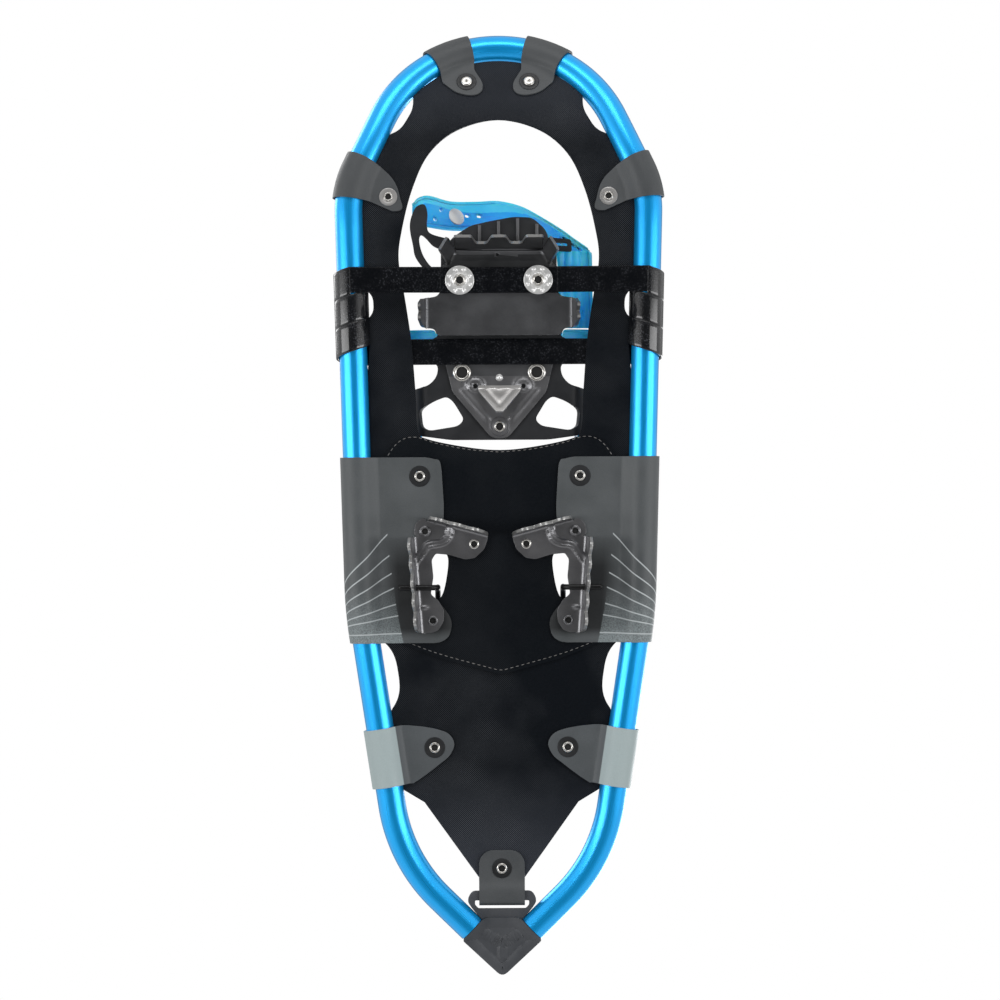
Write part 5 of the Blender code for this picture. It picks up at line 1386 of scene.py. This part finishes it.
def make_heel_crampons():
    """A pair of heel crampons folded from one flat pattern, with a pressed S step between their lobes."""
    radius = 3.0
    outline, outer, front, wire = heel_pattern(radius)
    smooth_outline = round_corners(outline, 1.3, 4)
    for side, word in SIDES:
        flip = np.array((side, 1.0))
        holes = [circle(side * x, y, STEEL_HOLE, 20) for x, y in HEEL_RIVETS]
        holes.append(circle(side * wire[0], wire[1], 2.5, 20))
        flat, faces = flat_pattern([smooth_outline * flip] + holes, 0.9)
        right = flat * flip
        step = side_of_line(right, curve_through(HEEL_STEP, 6, False))
        height = -0.9 * np.tanh(step / 0.55) - 0.55 * hump(step - 3.2, 0.6)
        nib = np.linalg.norm((right - np.array((46.6, -62.6))) / (2.4, 1.1), axis=1)
        height -= 0.8 * hump(nib, 1.0)
        points = np.column_stack([flat, HEEL_PLATE_MIDDLE + height])
        mask_front = (right[:, 0] < 44.8) & (right[:, 1] > -21.0)
        mask_outer = right[:, 1] < -18.9
        points = fold_down(points, flat, outer[0] * flip, outer[1] * flip, radius, outer[2], mask_outer)
        points = fold_down(points, flat, front[0] * flip, front[1] * flip, radius, front[2], mask_front)
        piece = add_piece(f"heel_claw_{word}", points, faces, ["plate", "worn"], "frame", flat)
        give_wall(piece, STEEL, STEEL_EDGE, worn=1)
        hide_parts(f"heel_crampon_{word}")


# Harness

BASE_THICKNESS = 2.6
BASE_FRONT_MIDDLE = 24.2
BASE_REAR_MIDDLE = 32.2
BASE_HALF = [(29.0, 156.5), (35.5, 161.0), (35.5, 146.0), (36.0, 130.0), (37.5, 104.0), (42.0, 101.5),
             (48.5, 101.0), (48.5, 90.0), (42.0, 89.0), (37.5, 85.5), (38.5, 79.0), (43.0, 74.0),
             (52.0, 71.0), (58.0, 70.0), (58.0, 50.0), (52.0, 43.0), (30.0, 40.0)]
BASE_WINDOW = [(49.0, 58.5), (40.0, 64.0), (32.5, 66.8), (28.5, 63.7), (21.8, 52.6), (25.5, 48.6),
               (43.0, 45.8), (47.8, 48.0)]


def base_height(x, y):
    """Middle height of the base: an S step up behind the toe crampon, and wings that rise as a parabola."""
    step = smoothstep((128.0 - y) / 24.0)
    out = np.maximum(0.0, np.abs(x) - 44.0) / 14.0
    return BASE_FRONT_MIDDLE + (BASE_REAR_MIDDLE - BASE_FRONT_MIDDLE) * step + 18.0 * out * out


def make_base():
    """The moulded base web with its two windows, stepped up behind the toe crampon, its wings rising at the
    sides.
    """
    outline = round_corners(mirrored(BASE_HALF), 3.0, 5)
    windows = [round_corners(np.array(BASE_WINDOW) * (side, 1.0), 3.0, 5) for side in (1.0, -1.0)]
    places = both_sides([(CRAMPON_RIVET_X, STRAP_FRONT_Y)]) + REAR_RIVETS
    holes = [circle(x, y, STEEL_HOLE, 16) for x, y in places]
    flat, faces = flat_pattern([outline] + windows + holes, 1.7)
    points = np.column_stack([flat, base_height(*flat.T)])
    piece = add_piece("harness_base", points, faces, "harness", "binding", flat)
    give_wall(piece, BASE_THICKNESS, 0.6)
    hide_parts("binding_base")


TOE_FLOOR = 25.9
TOE_STOP_THICKNESS = 4.0
KEEPER_THICKNESS = 5.0
TOE_LOOP_THICKNESS = 3.6
TOE_PIECE = [(-30.6, 150.0), (-30.6, 164.0), (-28.5, 169.0), (-20.5, 176.4), (-8.8, 176.8), (4.0, 174.4),
             (17.0, 171.4), (24.0, 167.0), (30.6, 162.0), (30.6, 150.0), (18.0, 147.0), (-18.0, 147.0)]
TOE_RIB_X = (-23.4, -11.7, 0.0, 11.7, 23.4)


def bar_points(start, end, half, low, high):
    """A tapered bar with a rounded foot: rings of a rounded U section carried from start to end."""
    t = np.linspace(0.0, 1.0, 12)
    angle = np.radians(np.linspace(180.0, 360.0, 13))
    across = np.concatenate(([half], half * np.cos(angle[::-1]), [-half]))
    depth = np.concatenate(([high], low + half + half * np.sin(angle[::-1]), [high]))
    line = np.asarray(start) + t[:, None] * (np.asarray(end) - np.asarray(start))
    return spread(line[:, None, 0] + across[None], line[:, None, 1], depth[None])


def make_toe_piece():
    """The toe stop: a rounded plate, five rounded ribs under its nose and the strap keeper beside it."""
    outline = round_corners(TOE_PIECE, 3.0, 5)
    flat, faces = flat_pattern([outline], 2.5)
    x, y = flat.T
    height = TOE_FLOOR + TOE_STOP_THICKNESS / 2 + 1.6 * smoothstep((y - 160.0) / 16.0)
    piece = add_piece("toe_stop", np.column_stack([flat, height]), faces, "harness", "binding",
                      flat)
    give_wall(piece, TOE_STOP_THICKNESS, 1.0)
    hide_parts("toe_piece")
    ends = np.interp(TOE_RIB_X, (-24.0, -20.0, -9.0, 17.0, 24.0), (171.5, 175.2, 175.6, 170.4, 166.0))
    low, high = TOE_FLOOR - 3.0, TOE_FLOOR + 2.5
    bars = [bar_points((x, 158.6), (x, end), 1.0, low, high) for x, end in zip(TOE_RIB_X, ends)]
    rows, columns = bars[0].shape[:2]
    one = grid_faces(rows, columns, close_columns=True)
    caps = np.arange(columns)
    faces = []
    for k in range(len(bars)):
        base = k * rows * columns
        faces += (one + base).tolist()
        faces += [(caps + base).tolist(), (caps[::-1] + base + (rows - 1) * columns).tolist()]
    add_piece("toe_stop_ribs", np.concatenate(bars), faces, "rib", "binding", closed=True)
    edge = [(-31.2, 164.0), (-44.4, 162.7), (-45.0, 155.2), (-29.4, 156.1)]
    slot = [(-34.2, 161.0), (-42.0, 160.4), (-42.2, 158.6), (-34.0, 159.0)]
    flat, faces = flat_pattern([round_corners(edge, 1.6, 5), round_corners(slot, 0.8, 4)], 1.5)
    points = level(flat, TOE_FLOOR + KEEPER_THICKNESS / 2)
    keeper = add_piece("strap_keeper", points, faces, "harness", "binding", flat)
    give_wall(keeper, KEEPER_THICKNESS, 0.7)


TOE_LOOP_OUTER = [(31.2, 163.4), (41.7, 166.7), (44.0, 171.5), (43.6, 179.0), (45.5, 184.5), (50.5, 183.0),
                  (53.8, 176.0), (54.4, 169.0), (52.6, 159.3), (51.4, 152.9), (47.6, 147.0), (42.0, 140.5),
                  (36.6, 138.0)]
TOE_LOOP_INNER = [(36.6, 144.0), (41.0, 146.0), (45.0, 150.8), (47.6, 156.5), (48.8, 163.0), (47.6, 165.8),
                  (44.5, 163.6), (40.6, 159.4), (36.0, 157.2), (31.2, 156.8)]


def make_toe_loop():
    """The forked loop arm: one outline of two smooth curves, with well rounded edges."""
    outline = np.vstack([curve_through(TOE_LOOP_OUTER, 6, False), curve_through(TOE_LOOP_INNER, 6, False)])
    flat, faces = flat_pattern([outline], 1.5)
    points = level(flat, TOE_FLOOR + TOE_LOOP_THICKNESS / 2)
    piece = add_piece("loop_arm", points, faces, "harness", "binding", flat)
    give_wall(piece, TOE_LOOP_THICKNESS, 1.1)
    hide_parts("toe_loop")


# Elastomer bands

BAND_THICKNESS = 2.2
TOE_BAND_ROUTE = [(53.0, 179.0, 31.6), (48.0, 181.0, 33.0), (42.0, 181.0, 38.0), (30.0, 179.5, 51.0),
                  (14.0, 180.0, 60.0), (0.0, 180.6, 63.0), (-14.0, 179.0, 61.0), (-26.0, 173.6, 55.0),
                  (-38.0, 165.5, 47.0), (-48.0, 158.2, 43.0), (-56.5, 151.8, 42.0)]
TOE_BAND_WIDTH = [(0.0, 14.0, 1.0), (0.0, 18.0, 2.0), (1.0, 19.5, 4.0), (0.0, 18.0, 8.0), (0.0, 18.0, 11.0),
                  (0.0, 18.0, 12.0), (0.0, 14.0, 13.0), (0.0, 11.0, 13.0), (0.0, 11.0, 10.0),
                  (1.0, 11.0, 7.0), (1.0, 12.0, 4.0)]
# Holes as station along the band, offset across it and radius
TOE_BAND_HOLES = [(16.4, -5.0, 1.7), (22.3, 2.6, 1.7), (43.2, 0.0, 1.7), (51.5, -0.6, 1.7),
                  (112.0, 0.0, 1.5), (118.6, 0.0, 1.5), (124.4, 0.0, 1.5)]
TOE_STUD_STATION = 35.2
SIDE_BAND_ROUTE = [(-46.5, 156.0, 36.0), (-47.0, 147.0, 36.0), (-47.2, 137.0, 36.2), (-47.2, 124.0, 37.0),
                   (-46.8, 108.8, 38.5)]
SIDE_BAND_WIDTH = (-21.0, 0.0, 2.0)
INSTEP_Y = 98.5
INSTEP_WIDTH = 19.0
INSTEP_HALF = [(39.0, 35.4), (49.0, 37.7), (55.2, 41.0), (56.2, 52.0), (51.0, 66.0), (39.0, 78.0),
               (21.0, 84.6)]
INSTEP_TOP_Z = 85.9
HEEL_BAND_HALF = 47.0
HEEL_ARC_Y = -72.0
HEEL_BAND_WIDTH = 18.0
HEEL_BAND_SIDE = [(51.0, 70.0, 51.0), (50.0, 50.0, 51.0), (48.0, 10.0, 51.0), (47.0, -40.0, 53.0)]
HEEL_BAND_LEVEL = 54.0


class Band:
    """A strip of cloth-like rubber: a smooth route in space with a width vector at each of its stations."""

    def __init__(self, route, widths):
        self.line = curve_through(route, 10, False)
        if np.ndim(widths) > 1:
            self.across = curve_through(widths, 10, False)
        else:
            self.across = np.tile(np.asarray(widths), (len(self.line), 1))
        self.station = lengths_along(self.line)
        self.width = float(np.linalg.norm(self.across, axis=1).max())
        self.normal = unit(np.cross(np.gradient(self.line, self.station, axis=0), self.across))

    def at(self, array, station):
        """Values of one of the band's arrays at any stations."""
        return np.stack([np.interp(station, self.station, array[:, k]) for k in range(3)], axis=-1)

    def place(self, flat, lift):
        """Flat strip to space: along the route by u, along the width by v, off the band by the lift."""
        u, v = flat.T
        aside = (v / self.width)[:, None] * self.at(self.across, u)
        return self.at(self.line, u) + aside + lift[:, None] * self.at(self.normal, u)


# A band's second tone is the paler elastomer: painted light.
def make_band(name, node, band, holes=(), ripple=0.0, ends=3.0, tones=("band", "band_painted_light")):
    """A band with punched holes, low grooves near both edges and, where it is slack, ripples."""
    half = band.width / 2
    length = band.station[-1]
    outline = round_corners([(0.0, -half), (length, -half), (length, half), (0.0, half)], ends, 5)
    flat, faces = flat_pattern([outline] + [circle(u, v, radius, 18) for u, v, radius in holes], 2.0, 1.0)
    u, v = flat.T
    wave = np.sin(1.25 * v + 0.9 * np.sin(0.11 * u)) * (0.6 + 0.4 * np.sin(0.17 * u + 1.0))
    lift = ripple * wave - 0.35 * hump(np.abs(v) - half + 2.2, 0.6)
    piece = add_piece(name, band.place(flat, lift), faces, list(tones), "binding", flat)
    give_wall(piece, BAND_THICKNESS, 0.5)
    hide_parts(node)
    return piece


def turned_at(profile, place, normal):
    """A turned profile set up on a place, its height along a normal."""
    points, faces = turned(profile, 36)
    normal = np.asarray(normal, dtype=float)
    side = unit(np.cross((0.0, 1.0, 0.0), normal))
    basis = np.stack([side, np.cross(normal, side), normal])
    return points.reshape(-1, 3) @ basis + np.asarray(place), faces


STUD_PROFILE = [(0.02, 1.9), (4.6, 1.9), (5.3, 1.7), (5.6, 1.3), (5.4, 0.9), (2.2, 0.8), (2.2, -2.4),
                (3.4, -2.4), (3.2, -2.9), (1.6, -3.2), (0.02, -3.2)]


def make_stud(name, band, station, offset, sign):
    """A pressed metal stud through a band, its dished head on one side."""
    normal = band.at(band.normal, station) * sign
    place = band.at(band.line, station) + offset / band.width * band.at(band.across, station)
    points, faces = turned_at(STUD_PROFILE, place, normal)
    add_piece(name, points, faces, "zinc", "binding", closed=True)


def make_bands():
    """The four blue straps and the studs that fasten them."""
    toe = Band(TOE_BAND_ROUTE, TOE_BAND_WIDTH)
    piece = make_band("toe_band", "toe_strap", toe, TOE_BAND_HOLES)
    sag = 3.2 * math.pi / toe.station[-1]
    # Painted light: the toe band's upper strip takes the paler copy of the elastomer.
    paint_where(piece, 1, lambda u, v: v > 3.4 + 1.8 * np.sin(sag * u + 0.4))
    down = -1.0 if toe.at(toe.normal, TOE_STUD_STATION)[2] > 0.0 else 1.0
    make_stud("toe_band_stud", toe, TOE_STUD_STATION, -1.0, down)
    side = Band(SIDE_BAND_ROUTE, SIDE_BAND_WIDTH)
    # Painted light: the side band is all in the paler copy of the elastomer.
    make_band("side_band", "side_strap", side, (), 0.55, 2.0, ("band_painted_light",))
    half = [(x, INSTEP_Y, z) for x, z in INSTEP_HALF]
    arch = Band(half + [(0.0, INSTEP_Y, INSTEP_TOP_Z)] + [(-x, y, z) for x, y, z in reversed(half)],
                (0.0, INSTEP_WIDTH, 0.0))
    middle = arch.station[-1] / 2
    holes = [(middle + u, 0.0, 1.7) for u in np.arange(12.0, 61.0, 8.0)]
    # Painted light: the instep band is all in the paler copy of the elastomer.
    make_band("instep_band", "instep_strap", arch, holes, tones=("band_painted_light",))
    up = 1.0 if arch.at(arch.normal, middle)[2] > 0.0 else -1.0
    make_stud("instep_band_stud", arch, middle - 26.0, 0.0, up)
    arc = np.linspace(0.0, -math.pi, 15)
    back = [(HEEL_BAND_HALF * math.cos(a), HEEL_ARC_Y + HEEL_BAND_HALF * math.sin(a), HEEL_BAND_LEVEL)
            for a in arc]
    left = [(-x, y, z) for x, y, z in reversed(HEEL_BAND_SIDE)]
    heel = Band(HEEL_BAND_SIDE + back + left, (0.0, 0.0, HEEL_BAND_WIDTH))
    holes = [(u, 0.0, 1.7) for u in np.arange(26.0, 92.0, 9.0)]
    make_band("heel_band", "heel_strap", heel, holes)
    out = 1.0 if heel.at(heel.normal, heel.station[-1] - 40.0)[0] < 0.0 else -1.0
    make_stud("heel_band_stud", heel, heel.station[-1] - 30.0, 0.0, out)


# Washers and the binding's rivets

WASHER_LOW = 17.2
CRAMPON_RIVET_TOP = 25.6
REAR_RIVET_TOP = 33.6
WASHER_DIMPLES = 8


def make_washers():
    """Dished washers under the strap: rings of points with eight pressed dimples near the rim."""
    sides = 96
    radii = np.concatenate([[2.3, 2.3], np.linspace(2.6, 8.3, 18), [8.6, 8.8, 8.9, 8.9, 8.8, 2.3]])
    lows = np.concatenate([[0.9, 0.3], np.zeros(18), [0.05, 0.15, 0.35, 1.0, 1.2, 1.2]])
    lows[2:20] += 0.55 * hump(radii[2:20] - 4.6, 0.7)
    pressed = np.concatenate([[0.0, 0.0], np.ones(18), np.zeros(6)])
    angle = round_angles(sides)
    x = radii[:, None] * np.cos(angle)[None]
    y = radii[:, None] * np.sin(angle)[None]
    turn = np.radians(22.5) + np.arange(WASHER_DIMPLES) * 2.0 * math.pi / WASHER_DIMPLES
    far = np.hypot(x[..., None] - 6.7 * np.cos(turn), y[..., None] - 6.7 * np.sin(turn)).min(axis=-1)
    z = WASHER_LOW + lows[:, None] + 0.75 * pressed[:, None] * hump(far, 0.85)
    faces = grid_faces(len(radii), sides, close_rows=True, close_columns=True)
    for side, word in SIDES:
        points = np.stack([x + side * CRAMPON_RIVET_X, y + STRAP_FRONT_Y, z], axis=-1)
        piece = add_piece(f"dished_washer_{word}", points, faces, "zinc", "binding", closed=True)
        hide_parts(f"crampon_washer_{word}")
        place = (side * CRAMPON_RIVET_X, STRAP_FRONT_Y)
        make_rivet(f"crampon_rivet_{word}", place, WASHER_LOW + 0.1, CRAMPON_RIVET_TOP, "binding",
                   3.7, 3.9, bore=0.58, metals=("rivet", "rivet"))


def make_rear_rivets():
    """The eyelets at the top of the V plate and the capped rivet at its point."""
    for number, (x, y) in enumerate(REAR_RIVETS, 1):
        ring, cap, metal = (5.6, 5.7, "rivet") if abs(x) > 1.0 else (3.5, 6.0, "plate")
        low = REAR_PLATE_MIDDLE - REAR_PLATE_THICKNESS / 2
        make_rivet(f"rear_crampon_rivet_{number}", (x, y), low, REAR_RIVET_TOP, "binding", ring, cap,
                   bore=0.6, metals=("rivet", metal))


# Tail tip

TIP_LOOP_HALF = [(10.0, -256.5), (18.0, -247.8), (21.5, -242.5), (18.5, -236.8)]
TIP_SLOT_HALF = [(14.6, -247.6), (16.6, -245.4), (16.6, -242.3)]
TIP_THICKNESS = 16.0
TIP_LOOP_THICKNESS = 5.0
TIP_GAP = 0.3


def make_tail_tip():
    """The moulded V with a sunk, bordered face and a chevron ridge, and the slotted loop ahead of it."""
    heading = unit(HALF_PLAN[-1] - HALF_PLAN[-2])
    inward = np.array((heading[1], -heading[0]))
    end = HALF_PLAN[-1] + heading * TIP_GAP
    outer = end - inward * TUBE_RADIUS
    inner = end + inward * TUBE_RADIUS
    apex_y = outer[1] - outer[0] * abs(heading[1] / heading[0])
    half = [(0.0, apex_y + 1.2), outer, inner, (9.0, inner[1] + 1.8), (0.0, inner[1] + 1.8)]
    outline = round_corners(mirrored(half), [4.5, 1.4, 1.4, 2.5, 2.0, 2.5, 1.4, 1.4], 6)
    flat, faces = flat_pattern([outline], 1.0)
    rim = near_line(flat, outline, closed=True)
    sunk = 0.9 * smoothstep((rim - 3.2) / 1.0)
    chevron = near_line(flat, [(12.0, -261.0), (0.0, -268.0), (-12.0, -261.0)])
    stem = near_line(flat, [(0.0, -271.0), (0.0, -277.0)])
    ridge = 1.1 * hump(np.minimum(chevron, stem), 0.9)
    points = np.column_stack([flat, TUBE_CENTRE_Z + sunk - ridge])
    piece = add_piece("tail_nose", points, faces, "tip", "frame", flat)
    give_wall(piece, TIP_THICKNESS, 2.6)
    piece.modifiers["edge"].segments = 4
    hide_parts("tail_tip")
    loop = round_corners(mirrored(TIP_LOOP_HALF), 2.6, 5)
    slot = round_corners(mirrored(TIP_SLOT_HALF), 0.8, 4)
    flat, faces = flat_pattern([loop, slot], 1.5)
    points = level(flat, TUBE_CENTRE_Z)
    ring = add_piece("tail_loop", points, faces, "tip", "frame", flat)
    give_wall(ring, TIP_LOOP_THICKNESS, 1.4)


make_tube()
DECK_PIECE = make_deck()
PATCH_PIECE = make_heel_patch()
make_wraps()
make_tail_strap()
make_windings()
make_strap_runs()
make_rivets()
make_bail()
make_stitches()
make_toe_crampon()
make_rear_crampon()
make_claw_tongue()
make_heel_crampons()
make_base()
make_toe_piece()
make_toe_loop()
make_bands()
make_washers()
make_rear_rivets()
make_tail_tip()


# Closing

def sheet_area(piece):
    """Area of a sheet's middle surface in square metres."""
    area = np.empty(len(piece.data.polygons))
    piece.data.polygons.foreach_get("area", area)
    return float(area.sum())


sheet_area(DECK_PIECE)
sheet_area(PATCH_PIECE)
